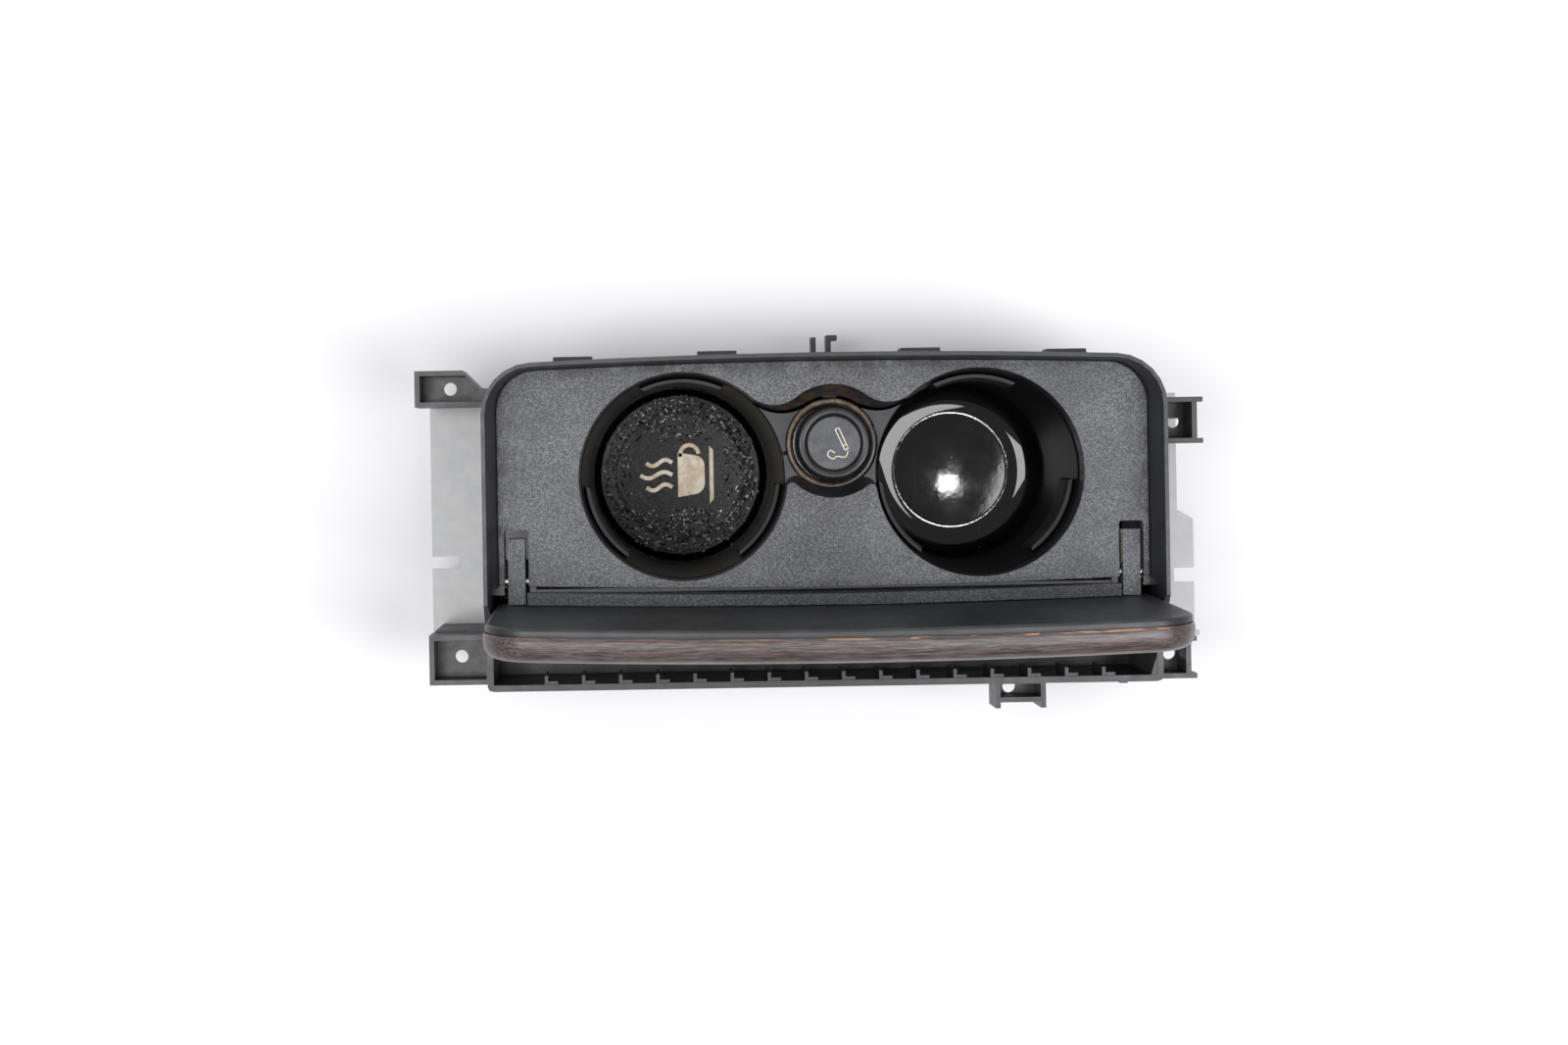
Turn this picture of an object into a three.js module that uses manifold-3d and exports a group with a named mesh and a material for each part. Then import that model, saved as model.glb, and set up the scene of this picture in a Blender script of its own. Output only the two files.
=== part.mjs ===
// Console insert with two cup wells, a pull-out lighter between them and a hinged, wood-faced lid.
// Millimetres, +Z up, +X along the row of wells, +Y to the rear, away from the lid's hinge.
// Inside this file heights are counted from the top of the deck, and X and Y from the point midway
// between the wells. The group at the end moves all of it, so that it stands on z = 0.
import * as THREE from "three";
import { mergeVertices } from "three/addons/utils/BufferGeometryUtils.js";
import Module from "manifold-3d";

const wasm = await Module();
wasm.setup();

// ---------------------------------------------------------------- driving dimensions
const GAP = 0.3; // left between pieces that rest on each other
const BASE = -88; // underside of the wells
const WALL = 2.4; // moulded wall
const MID_X = -3.5; // middle of the housing; the wells sit a little to the right of it
const CORNER_STEPS = 6; // sections round each end of every long panel
const MIDDLE_STEPS = 6; // sections from there to its middle
const STATIONS = 2 * (CORNER_STEPS + MIDDLE_STEPS);

const RIM = { half: 131.4, rear: 43.9, bulge: 3.0, front: -82.5, radius: 19, top: 12, lip: 1.5 };
const FLANGE_Z = -66; // underside of the side flanges and of the housing's web plate
const SKIRT_TOP = -2;
const RAMP = { high: -48, low: -64 }; // the side walls step down to the skirt here
const POCKET = { half: 129, rear: -43, front: -80, floor: -46 };
const DECK = { half: 126.3, rear: 41.5, bulge: 2.6, front: -41.2, sag: 2.4, radius: 15, thick: 3 };
const SEAT = { half: 123.6, depth: 3.2 };

const WELL = { x: 57.6, mouth: 40.5, throat: 39.3, foot: 35.6, floor: -85, flange: 42.3, wall: 1.5 };
const RECESS = { depth: 7, web: 2, x: 0.7, y: 13, top: 22, bottom: 17.8, rearFillet: 14, cusp: 2 };
const GRIP = { arc: 50, inner: 36.2, outer: 37.7, top: -12, height: 20, angles: [90, 210, 330] };
const MAT = { radius: 34, thick: 2.5 };

const LIGHTER = { x: 0.7, y: 12, knob: 14.75, top: 5, knobHeight: 12, socket: 11.5 };
const SOCKET_FLOOR = -56.5;

const PIVOT = { y: -39.8, z: -3.5, pin: 1.5, bore: 1.8 };
const OPEN_ANGLE = 92; // degrees from the closed lid to the open one
const ARM = { offset: 119.3, width: 6.7, tail: 16.8, rise: 3.5 };
const SLOT = { width: 9.3, depth: 21.3 };
const EAR = { near: 5.0, thick: 2.4, rear: -36, low: -13, top: -2.3 };
const LID = { half: 128.2, far: 84, bulge: 3, near: -26.5, radius: 17, nearRadius: 6 };
const CROWN = { base: 8.8, rise: 2.2 }; // height of the lid's inner face over the pivot
const SHELL = { thick: 3, inset: 0.8 };
const STRIP = { near: 1.0, rear: 4.2, half: 115.5 };

const GEAR = { module: 0.8, sector: 40, pinion: 12, pressure: 25, face: 2.2, angle: 95, backlash: 0.16 };
const DAMPER = { radius: 6, inner: 103.5, outer: 110.5 };

const RIBS = { count: 16, first: -112, pitch: 14.45, width: 1.3, depth: 3.4, ledge: 4.5, foot: -22 };
const REAR_CLIPS = { x: [-99.6, -43.8, 34.7, 91], half: 7.5, proud: 1.7, root: 1.5 };
const TAB = { top: -10, floor: -25, wall: 2, hole: 2.6, lug: 2.3 };

// ---------------------------------------------------------------- solids
const deg = THREE.MathUtils.degToRad;

function solidOf(geometry) {
  const bare = geometry.clone();
  for (const name of Object.keys(bare.attributes)) {
    if (name !== "position") bare.deleteAttribute(name);
  }
  const merged = mergeVertices(bare, 1e-4);
  const mesh = new wasm.Mesh({
    numProp: 3,
    vertProperties: merged.attributes.position.array,
    triVerts: new Uint32Array(merged.index.array),
  });
  return new wasm.Manifold(mesh);
}

function geometryOf(body) {
  const mesh = body.getMesh();
  const geometry = new THREE.BufferGeometry();
  geometry.setAttribute("position", new THREE.BufferAttribute(mesh.vertProperties, 3));
  geometry.setIndex(new THREE.BufferAttribute(mesh.triVerts, 1));
  const flat = geometry.toNonIndexed();
  flat.computeVertexNormals();
  return flat;
}

const union = (first, ...rest) => rest.reduce((sum, one) => sum.add(one), first);
const cut = (first, ...rest) => rest.reduce((left, one) => left.subtract(one), first);

function box(x0, x1, y0, y1, z0, z1) {
  const geometry = new THREE.BoxGeometry(x1 - x0, y1 - y0, z1 - z0);
  return solidOf(geometry.translate((x0 + x1) / 2, (y0 + y1) / 2, (z0 + z1) / 2));
}

// A profile of [radius, height] pairs turned about a vertical axis at x, y.
function turned(profile, x = 0, y = 0, sides = 48) {
  const points = profile.map(([radius, height]) => new THREE.Vector2(radius, height));
  points.push(points[0].clone());
  const geometry = new THREE.LatheGeometry(points, sides);
  return solidOf(geometry.rotateX(Math.PI / 2).translate(x, y, 0));
}

function disc(radius, z0, z1, x = 0, y = 0, sides = 48) {
  const geometry = new THREE.CylinderGeometry(radius, radius, z1 - z0, sides);
  return solidOf(geometry.rotateX(Math.PI / 2).translate(x, y, (z0 + z1) / 2));
}

// A round bar along X, from x0 to x1.
function rod(radius, x0, x1, y, z, sides = 24) {
  const geometry = new THREE.CylinderGeometry(radius, radius, x1 - x0, sides);
  return solidOf(geometry.rotateZ(Math.PI / 2).translate((x0 + x1) / 2, y, z));
}

function prism(points, z0, z1) {
  const shape = new THREE.Shape(points.map(([x, y]) => new THREE.Vector2(x, y)));
  const geometry = new THREE.ExtrudeGeometry(shape, { depth: z1 - z0, bevelEnabled: false });
  return solidOf(geometry.translate(0, 0, z0));
}

// An outline in the Y-Z plane, given as [y, z] pairs, drawn out from x0 to x1.
function sideways(points, x0, x1) {
  const shape = new THREE.Shape(points.map(([y, z]) => new THREE.Vector2(y, z)));
  const geometry = new THREE.ExtrudeGeometry(shape, { depth: x1 - x0, bevelEnabled: false });
  const turn = new THREE.Matrix4().set(0, 0, 1, x0, 1, 0, 0, 0, 0, 1, 0, 0, 0, 0, 0, 1);
  return solidOf(geometry.applyMatrix4(turn));
}

// Rings of the same number of [x, y, z] points, from the lowest up, joined by walls and closed by flat ends.
function lofted(...rings) {
  const count = rings[0].length;
  const positions = rings.flat(2);
  const index = [];
  for (let low = 0; low < (rings.length - 1) * count; low += count) {
    for (let i = 0; i < count; i += 1) {
      const next = (i + 1) % count;
      index.push(low + i, low + next, low + count + next, low + i, low + count + next, low + count + i);
    }
  }
  const cap = (ring) => THREE.ShapeUtils.triangulateShape(ring.map(([x, y]) => new THREE.Vector2(x, y)), []);
  const top = (rings.length - 1) * count;
  cap(rings[0]).forEach(([a, b, c]) => index.push(a, c, b));
  cap(rings.at(-1)).forEach(([a, b, c]) => index.push(top + a, top + b, top + c));
  const geometry = new THREE.BufferGeometry();
  geometry.setAttribute("position", new THREE.Float32BufferAttribute(positions, 3));
  geometry.setIndex(index);
  return solidOf(geometry);
}

// How far an edge falls back at a distance from the panel's end, for a corner of this radius.
function cornerDrop(distance, radius) {
  const inside = Math.max(0, radius - distance);
  return radius - Math.sqrt(Math.max(0, radius * radius - inside * inside));
}

// A long panel seen from above: straight ends, round corners, bowed front and rear edges.
// Each station holds its x, its front y and its rear y.
function stations(plan, inset = 0) {
  const half = plan.half - inset;
  const rearRadius = Math.max(0.5, plan.radius - inset);
  const frontRadius = Math.max(0.5, plan.frontRadius - inset);
  const reach = Math.max(rearRadius, frontRadius);
  const list = [];
  for (let i = 0; i <= STATIONS; i += 1) {
    const step = Math.min(i, STATIONS - i);
    const round = reach * (1 - Math.cos((Math.PI / 2) * Math.min(1, step / CORNER_STEPS)));
    const straight = (half - reach) * Math.max(0, (step - CORNER_STEPS) / MIDDLE_STEPS);
    const distance = round + straight;
    const share = (i < STATIONS / 2 ? -1 : 1) * (1 - distance / half);
    const bow = 1 - share * share;
    const rearDrop = cornerDrop(distance, rearRadius);
    const frontDrop = cornerDrop(distance, frontRadius);
    list.push({
      x: MID_X + half * share,
      front: plan.front + inset - (plan.sag ?? 0) * bow + frontDrop,
      rear: plan.rear - inset + (plan.bulge ?? 0) * bow - rearDrop,
    });
  }
  return list;
}

// Panel outlines stacked on each other. Each level is { plan, inset, z }, and z may vary with x.
function stacked(levels) {
  const positions = [];
  const index = [];
  const last = STATIONS;
  const count = 2 * (last + 1);
  for (const level of levels) {
    const ring = stations(level.plan, level.inset ?? 0);
    const height = typeof level.z === "function" ? level.z : () => level.z;
    ring.forEach((s) => positions.push(s.x, s.front, height(s.x)));
    [...ring].reverse().forEach((s) => positions.push(s.x, s.rear, height(s.x)));
  }
  for (let level = 0; level + 1 < levels.length; level += 1) {
    for (let i = 0; i < count; i += 1) {
      const low = level * count;
      const next = (i + 1) % count;
      index.push(low + i, low + next, low + count + next, low + i, low + count + next, low + count + i);
    }
  }
  const top = (levels.length - 1) * count;
  for (let i = 0; i < last; i += 1) {
    const rear = count - 1 - i;
    index.push(i, rear - 1, i + 1, i, rear, rear - 1);
    index.push(top + i, top + i + 1, top + rear - 1, top + i, top + rear - 1, top + rear);
  }
  const geometry = new THREE.BufferGeometry();
  geometry.setAttribute("position", new THREE.Float32BufferAttribute(positions, 3));
  geometry.setIndex(index);
  return solidOf(geometry);
}

// ---------------------------------------------------------------- the recess round wells and lighter
// Centre of the arc that rounds the notch between two circles, above (side 1) or below them (-1).
function filletCentre(a, ra, b, rb, fillet, side) {
  const dx = b[0] - a[0];
  const dy = b[1] - a[1];
  const span = Math.hypot(dx, dy);
  const along = ((ra + fillet) ** 2 - (rb + fillet) ** 2 + span * span) / (2 * span);
  const across = side * Math.sqrt((ra + fillet) ** 2 - along * along);
  return [a[0] + (dx * along - dy * across) / span, a[1] + (dy * along + dx * across) / span];
}

function arc(centre, radius, from, to, steps) {
  return Array.from({ length: steps }, (_, i) => {
    const angle = from + ((to - from) * (i + 0.5)) / steps;
    return [centre[0] + radius * Math.cos(angle), centre[1] + radius * Math.sin(angle)];
  });
}

const bearing = (from, to) => Math.atan2(to[1] - from[1], to[0] - from[0]);
const after = (angle, start) => (angle < start ? angle + 2 * Math.PI : angle);

// Wells and lighter circle joined by round fillets behind and short ones in front, anticlockwise.
function recessOutline(well, middle, rearFillet, cusp) {
  const right = [WELL.x, 0];
  const left = [-WELL.x, 0];
  const centre = [RECESS.x, RECESS.y];
  const rearRight = filletCentre(centre, middle, right, well, rearFillet, 1);
  const rearLeft = filletCentre(left, well, centre, middle, rearFillet, 1);
  const frontRight = filletCentre(centre, middle, right, well, cusp, -1);
  const frontLeft = filletCentre(left, well, centre, middle, cusp, -1);
  const points = [];
  const notch = (fillet, radius, from, to, steps) => {
    const start = bearing(fillet, from);
    let end = bearing(fillet, to);
    if (end > start) end -= 2 * Math.PI;
    points.push(...arc(fillet, radius, start, end, steps));
  };
  const bulge = (middlePoint, radius, from, to, steps) => {
    const start = bearing(middlePoint, from);
    points.push(...arc(middlePoint, radius, start, after(bearing(middlePoint, to), start), steps));
  };
  bulge(right, well, frontRight, rearRight, 28);
  notch(rearRight, rearFillet, right, centre, 6);
  bulge(centre, middle, rearRight, rearLeft, 12);
  notch(rearLeft, rearFillet, centre, left, 6);
  bulge(left, well, rearLeft, frontLeft, 28);
  notch(frontLeft, cusp, left, centre, 4);
  bulge(centre, middle, frontLeft, frontRight, 10);
  notch(frontRight, cusp, centre, right, 4);
  return points;
}

const atHeight = (outline, z) => outline.map(([x, y]) => [x, y, z]);

// ---------------------------------------------------------------- housing and deck
const rimPlan = { ...RIM, frontRadius: 2 };
const lipPlan = {
  ...rimPlan,
  half: RIM.half - RIM.lip,
  rear: RIM.rear - RIM.lip,
  front: POCKET.front,
  radius: RIM.radius - RIM.lip,
};
const deckWell = {
  ...lipPlan,
  half: DECK.half + GAP,
  rear: DECK.rear + GAP,
  bulge: DECK.bulge,
  radius: DECK.radius,
};
const innerPlan = { ...rimPlan, half: POCKET.half, rear: RIM.rear - WALL, front: POCKET.rear, radius: 16 };

const OUT_LEFT = MID_X - RIM.half;
const OUT_RIGHT = MID_X + RIM.half;

// Screw boxes on the outside of the housing. Each has a floor with a hole, walls and an open top;
// where lugs is set, the outer wall stands back and the two side walls run on past it.
const TABS = [
  { x: [-162.3, OUT_LEFT + 1], y: [28.7, 43], hole: [-149.6, 36.2], lugs: "none", chamfer: 7.2 },
  { x: [-158.2, OUT_LEFT + 1], y: [-80.4, -60.9], hole: [-146.7, -70.5], lugs: "none" },
  { x: [OUT_RIGHT - 1, 146.8], y: [9.8, 28], hole: [138.7, 18.6], lugs: "right" },
  { x: [OUT_RIGHT - 1, 143], y: [-82.4, -65.8], hole: [135.6, -73.8], lugs: "right" },
  { x: [63.7, 83.5], y: [-93, RIM.front + 1], hole: [71.4, -86], lugs: "front" },
];

function screwTab({ x, y, hole, lugs, chamfer = 0 }) {
  const { top, floor, wall, lug } = TAB;
  const [x0, x1] = x;
  const [y0, y1] = y;
  const right = x1 - (lugs === "right" ? lug : 0);
  const front = y0 + (lugs === "front" ? lug : 0);
  const meeting = OUT_LEFT - 1.2; // the chamfer meets the rim here
  const plan = (inset) => {
    const rear = y1 - inset;
    const near = front + inset;
    const left = x0 + inset;
    if (chamfer === 0) return [[left, near], [right - inset, near], [right - inset, rear], [left, rear]];
    const bend = meeting + inset * Math.tan(Math.PI / 8);
    return [
      [left, near], [x1, near], [x1, rear - chamfer],
      [bend, rear - chamfer], [bend - chamfer, rear], [left, rear],
    ];
  };
  const shell = cut(
    prism(plan(0), floor - wall, top),
    prism(plan(wall), floor, top + 1),
    disc(TAB.hole, floor - wall - 1, floor + 1, hole[0], hole[1], 24),
  );
  const fin = (ax, bx, ay, by) => box(ax, bx, ay, by, floor - wall, top);
  const fins = {
    none: [],
    right: [fin(right - 1, x1, y0, y0 + wall), fin(right - 1, x1, y1 - wall, y1)],
    front: [fin(x0, x0 + wall, y0, front + 1), fin(x1 - wall, x1, y0, front + 1)],
  };
  return union(shell, ...fins[lugs]);
}

// Side flanges with a locating notch each, in the plane of the housing's web plate.
function flanges() {
  const z0 = FLANGE_Z;
  const z1 = FLANGE_Z + WALL;
  const left = prism(
    [
      [-161.7, 31], [-161.7, -32.3], [-150.7, -32.3], [-150.7, -37.2],
      [-161.7, -37.2], [-161.7, -67.8], [OUT_LEFT + 1, -67.8], [OUT_LEFT + 1, 31],
    ],
    z0,
    z1,
  );
  const right = prism(
    [
      [OUT_RIGHT - 1, 31], [OUT_RIGHT - 1, -70], [157.5, -70], [157.5, -68],
      [155.5, -68], [155.5, -47.8], [147.2, -47.8], [147.2, -42],
      [155.5, -42], [155.5, -21.7], [148.9, -17.6], [148.9, 31],
    ],
    z0,
    z1,
  );
  return [left, right];
}

// Upright ribs that carry the screw boxes on the flanges below them.
function tabRibs() {
  const spots = [
    [-161.3, OUT_LEFT + 1, 29.5, FLANGE_Z + 1],
    [-157.3, OUT_LEFT + 1, -62, FLANGE_Z + 1],
    [OUT_RIGHT - 1, 146, 20, FLANGE_Z + 1],
    [OUT_RIGHT - 1, 142, -66.9, FLANGE_Z + 1],
  ];
  return spots.map(([x0, x1, y, z]) => box(x0, x1, y, y + 1.8, z, TAB.floor - 1));
}

// Short upright ribs inside the front skirt, each with a narrow ledge beside it.
function pocketRibs() {
  const parts = [];
  for (let i = 0; i < RIBS.count; i += 1) {
    const x = RIBS.first + i * RIBS.pitch;
    const half = RIBS.width / 2;
    const skirt = POCKET.front - 1;
    parts.push(box(x - half, x + half, skirt, POCKET.front + RIBS.depth, RIBS.foot, SKIRT_TOP - 0.4));
    parts.push(box(x, x + RIBS.ledge, skirt, POCKET.front + 1.2, -8, SKIRT_TOP - 0.8));
  }
  return parts;
}

// Snap clips and the two fingers that guide a cable on the rear wall.
function rearFeatures() {
  const { half, proud, root } = REAR_CLIPS;
  const clips = REAR_CLIPS.x.map((x) => {
    const bow = 1 - ((x - MID_X) / RIM.half) ** 2;
    const y = RIM.rear + RIM.bulge * bow;
    return sideways([[y - root, -14], [y + proud, -6], [y + proud, 4], [y - root, 7]], x - half, x + half);
  });
  const guide = (x0, x1, reach) => box(x0, x1, 45.5, reach, -62, -54);
  return [...clips, guide(-3.2, -1.2, 56), guide(3, 5, 56.8), box(4.9, 7.5, 54.6, 56.8, -62, -54)];
}

// The pocket's right end leans inwards at the front, and a small nub stands on the skirt beside it.
function frontDetails() {
  const end = MID_X + POCKET.half;
  const inner = POCKET.front - 0.2;
  return [
    prism([[end + 0.2, -72], [end - 2.4, inner], [end + 0.2, inner]], POCKET.floor - 1, SKIRT_TOP - 0.4),
    box(113.5, 116.5, RIM.front - 1.8, RIM.front + 0.6, -30, -14),
  ];
}

const armCentre = (side) => MID_X + side * ARM.offset;
const screwX = (side) => armCentre(side) + side;

// Two ears at each arm carry the hinge pin.
function hingeEars() {
  const parts = [];
  for (const side of [-1, 1]) {
    for (const hand of [-1, 1]) {
      const near = armCentre(side) + hand * EAR.near;
      const far = near + hand * EAR.thick;
      const [x0, x1] = [Math.min(near, far), Math.max(near, far)];
      parts.push(box(x0, x1, POCKET.rear - 1, EAR.rear, EAR.low, EAR.top));
    }
  }
  return parts;
}

function housing() {
  const skin = stacked([{ plan: rimPlan, z: BASE }, { plan: rimPlan, z: RIM.top }]);
  const tub = cut(
    skin,
    stacked([
      { plan: deckWell, z: -SEAT.depth },
      { plan: deckWell, z: 0 },
      { plan: { ...lipPlan, half: lipPlan.half + 0.2 }, z: RIM.top + 0.7 },
    ]),
    stacked([
      { plan: { ...innerPlan, half: SEAT.half, rear: 39.2, radius: 12 }, z: -8 },
      { plan: { ...innerPlan, half: SEAT.half, rear: 39.2, radius: 12 }, z: 0 },
    ]),
    stacked([{ plan: innerPlan, z: FLANGE_Z + WALL }, { plan: innerPlan, z: -6.2 }]),
    // the pocket that the lid swings in, and the space under its floor
    box(MID_X - POCKET.half, MID_X + POCKET.half, POCKET.front, POCKET.rear - 2, POCKET.floor, RIM.top + 1),
    box(MID_X - POCKET.half, MID_X + POCKET.half, POCKET.front, POCKET.rear, BASE - 1, POCKET.floor - WALL),
    // above the pocket's rear wall
    box(MID_X - POCKET.half, MID_X + POCKET.half, POCKET.front, POCKET.rear + 1, -SEAT.depth, RIM.top + 1),
    // side walls step down to the front skirt
    sideways(
      [
        [RAMP.high, RIM.top + 1], [RAMP.high, RIM.top], [RAMP.low, SKIRT_TOP],
        [-90, SKIRT_TOP], [-90, RIM.top + 1],
      ],
      OUT_LEFT - 5,
      OUT_RIGHT + 5,
    ),
    // only the front corners reach down to the base
    box(OUT_LEFT - 1, OUT_RIGHT + 1, -58, 60, BASE - 1, FLANGE_Z),
  );
  const openings = [];
  for (const side of [-1, 1]) {
    const x = side * WELL.x;
    openings.push(disc(WELL.flange + 0.4, FLANGE_Z + WALL, -2.5, x, 0, 44));
    openings.push(disc(39.6, FLANGE_Z - 1, FLANGE_Z + WALL + 1, x, 0, 44));
    const arm = armCentre(side);
    openings.push(box(arm - 4.9, arm + 4.9, POCKET.rear - 3, POCKET.rear + 1, -34, 0));
    openings.push(box(arm - 9, arm + 9, -34, -14, FLANGE_Z - 1, FLANGE_Z + WALL + 1));
  }
  openings.push(disc(17, FLANGE_Z - 1, FLANGE_Z + WALL + 1, LIGHTER.x, LIGHTER.y, 32));
  openings.push(box(DAMPER.inner - 0.6, DAMPER.outer + 0.7, POCKET.rear - 3, POCKET.rear + 1, -34, -16));
  const bracket = box(DAMPER.inner - 3, DAMPER.inner - 0.6, POCKET.rear - 1, -33, -34, -14);
  const solid = union(
    cut(tub, ...openings),
    ...flanges(),
    ...tabRibs(),
    ...pocketRibs(),
    ...rearFeatures(),
    ...hingeEars(),
    bracket,
    ...frontDetails(),
    ...TABS.map(screwTab),
  );
  const bores = [-1, 1].map((side) => {
    const x = armCentre(side);
    return rod(PIVOT.bore, x - 8, x + 8, PIVOT.y, PIVOT.z);
  });
  return cut(solid, ...bores);
}

function deck() {
  const plan = { ...DECK, frontRadius: 1 };
  const plate = stacked([{ plan, z: -DECK.thick }, { plan, z: 0 }]);
  const outside = recessOutline(WELL.flange, RECESS.top + 2, RECESS.rearFillet - 2, 0.8);
  const collar = lofted(atHeight(outside, -RECESS.depth - RECESS.web), atHeight(outside, -1));
  const top = recessOutline(WELL.mouth, RECESS.top, RECESS.rearFillet, RECESS.cusp);
  const low = recessOutline(WELL.mouth - 0.6, RECESS.bottom, RECESS.rearFillet + 4, 5);
  const hollow = lofted(atHeight(low, -RECESS.depth), atHeight(top, 0), atHeight(top, 2));
  const through = [-1, 1].map((side) => disc(WELL.throat + 0.3, -12, 1, side * WELL.x, 0, 44));
  const bore = disc(17.9, -12, -3, LIGHTER.x, LIGHTER.y, 32);
  const slots = [];
  for (const side of [-1, 1]) {
    const x = armCentre(side);
    const half = SLOT.width / 2;
    slots.push(box(x - half, x + half, -50, DECK.front + SLOT.depth, -5, 1));
    slots.push(box(x - 8, x + 8, -50, EAR.rear + 0.5, -5, -1.7));
  }
  return cut(union(plate, collar), hollow, ...through, bore, ...slots);
}

// ---------------------------------------------------------------- wells
function wellLiner(x) {
  const { throat, foot, floor, flange, wall } = WELL;
  const liner = turned(
    [
      [0, BASE], [foot - 3, BASE], [foot + wall - 1, BASE + 2.5], [throat + wall, -12],
      [flange, -11.5], [flange, -9.3], [throat, -9.3], [foot, floor + 5],
      [foot - 0.7, floor + 1.6], [foot - 2, floor], [0, floor],
    ],
    x,
    0,
    44,
  );
  return cut(liner, disc(17.7, -26, -9, LIGHTER.x, LIGHTER.y, 32));
}

function grip(x, angle) {
  const from = deg(angle - GRIP.arc / 2);
  const to = deg(angle + GRIP.arc / 2);
  const steps = 10;
  const along = (radius) =>
    Array.from({ length: steps + 1 }, (_, i) => {
      const turn = from + ((to - from) * i) / steps;
      return [x + radius * Math.cos(turn), radius * Math.sin(turn)];
    });
  return prism([...along(GRIP.outer), ...along(GRIP.inner).reverse()], GRIP.top - GRIP.height, GRIP.top);
}

function mat() {
  const z = WELL.floor + GAP;
  return turned(
    [
      [0, z], [MAT.radius - 0.6, z], [MAT.radius, z + 0.6], [MAT.radius, z + MAT.thick - 0.6],
      [MAT.radius - 0.6, z + MAT.thick], [0, z + MAT.thick],
    ],
    -WELL.x,
    0,
    36,
  );
}

// ---------------------------------------------------------------- lighter
const onLighterAxis = (profile, sides = 26) => turned(profile, LIGHTER.x, LIGHTER.y, sides);

const lighterPieces = {
  light_ring: () =>
    onLighterAxis([[15.3, -20.8], [16.2, -20.8], [16.2, -8.9], [17.6, -8.9], [17.6, -7], [15.3, -7]]),
  socket_retainer: () =>
    onLighterAxis([
      [11.8, -24], [17.4, -24], [17.4, -9.3], [16.5, -9.3], [16.5, -21.2], [11.8, -21.2],
    ]),
  socket_shell: () =>
    onLighterAxis([
      [4, -58], [LIGHTER.socket, -58], [LIGHTER.socket, -15.2], [14.8, -15.2], [14.8, -14.2],
      [10.7, -14.2], [10.7, SOCKET_FLOOR], [4, SOCKET_FLOOR],
    ]),
  contact_insulator: () =>
    onLighterAxis([[1.8, -63], [6, -63], [6, -58.3], [3.6, -58.3], [3.6, -55.9], [1.8, -55.9]], 24),
  centre_contact: () =>
    onLighterAxis([[0, -70], [1.5, -70], [1.5, -55.4], [3.2, -55.4], [3.2, -54.7], [0, -54.7]], 24),
  lighter_sleeve: () =>
    onLighterAxis([
      [9.5, -44], [10.4, -44], [10.4, -7.2], [9.6, -7.2], [9.6, -11], [2.2, -11], [2.2, -11.9], [9.5, -11.9],
    ]),
  lighter_knob: () => {
    const bottom = LIGHTER.top - LIGHTER.knobHeight;
    const r = LIGHTER.knob;
    return onLighterAxis(
      [
        [11.4, bottom], [r - 0.7, bottom], [r, bottom + 0.7], [r, 3.2], [r - 0.7, 4.5], [r - 2, LIGHTER.top],
        [11, LIGHTER.top], [10.5, 3.8], [0, 3.8], [0, -0.8], [11.4, -0.8],
      ],
      48,
    );
  },
  lighter_knob_face: () => onLighterAxis([[0, 4.1], [10.1, 4.1], [10.1, 4.5], [9.8, 4.8], [0, 4.8]], 48),
  lighter_rod: () =>
    onLighterAxis([[0, -38.2], [1.7, -38.2], [1.7, -3], [3, -3], [3, -1.1], [0, -1.1]], 20),
  heating_element: () =>
    onLighterAxis([[0, -41], [7.6, -41], [7.6, -44], [8.5, -44], [8.5, -38.5], [0, -38.5]], 32),
};

// Two spring fingers on a base ring, which hold the hot element until it lets go.
function bimetalClip() {
  const ring = onLighterAxis([[7.4, -56.2], [10.3, -56.2], [10.3, -55.5], [7.4, -55.5]], 32);
  const tube = onLighterAxis([[9.2, -56], [10, -56], [10, -48.5], [9.2, -48.5]], 32);
  const keep = box(LIGHTER.x - 4, LIGHTER.x + 4, LIGHTER.y - 12, LIGHTER.y + 12, -57, -48);
  return union(ring, tube.intersect(keep));
}

const SPRING = { radius: 5, wire: 0.45, turns: 4, bottom: -10.2, top: -1.7 };

class Helix extends THREE.Curve {
  getPoint(t, target = new THREE.Vector3()) {
    const angle = 2 * Math.PI * SPRING.turns * t;
    const z = SPRING.bottom + (SPRING.top - SPRING.bottom) * t;
    const x = LIGHTER.x + SPRING.radius * Math.cos(angle);
    const y = LIGHTER.y + SPRING.radius * Math.sin(angle);
    return target.set(x, y, z);
  }
}

function lighterSpring() {
  const section = new THREE.Shape();
  section.absarc(0, 0, SPRING.wire, 0, 2 * Math.PI);
  const geometry = new THREE.ExtrudeGeometry(section, {
    steps: SPRING.turns * 10,
    curveSegments: 2,
    extrudePath: new Helix(),
  });
  return solidOf(geometry);
}

function lampHolder() {
  const { x, y } = LIGHTER;
  const body = box(x - 5, x + 5, y + 21, y + 29, -23, -12);
  const nose = box(x - 3, x + 3, y + 17.8, y + 21.5, -20, -14);
  return cut(union(body, nose), box(x - 3.4, x + 3.4, y + 22.5, y + 27.5, -24, -16));
}

function powerConnector() {
  const { x, y } = LIGHTER;
  const body = box(x - 10, x + 10, y - 6.5, y + 6.5, -84, -64);
  const hollow = box(x - 8, x + 8, y - 4.8, y + 4.8, -85, -72);
  const blades = [-4, 4].map((offset) => box(x + offset - 0.4, x + offset + 0.4, y - 3, y + 3, -81, -71));
  const passage = disc(2, -73, -60, x, y, 20);
  return cut(union(cut(body, hollow), ...blades), passage);
}

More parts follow.
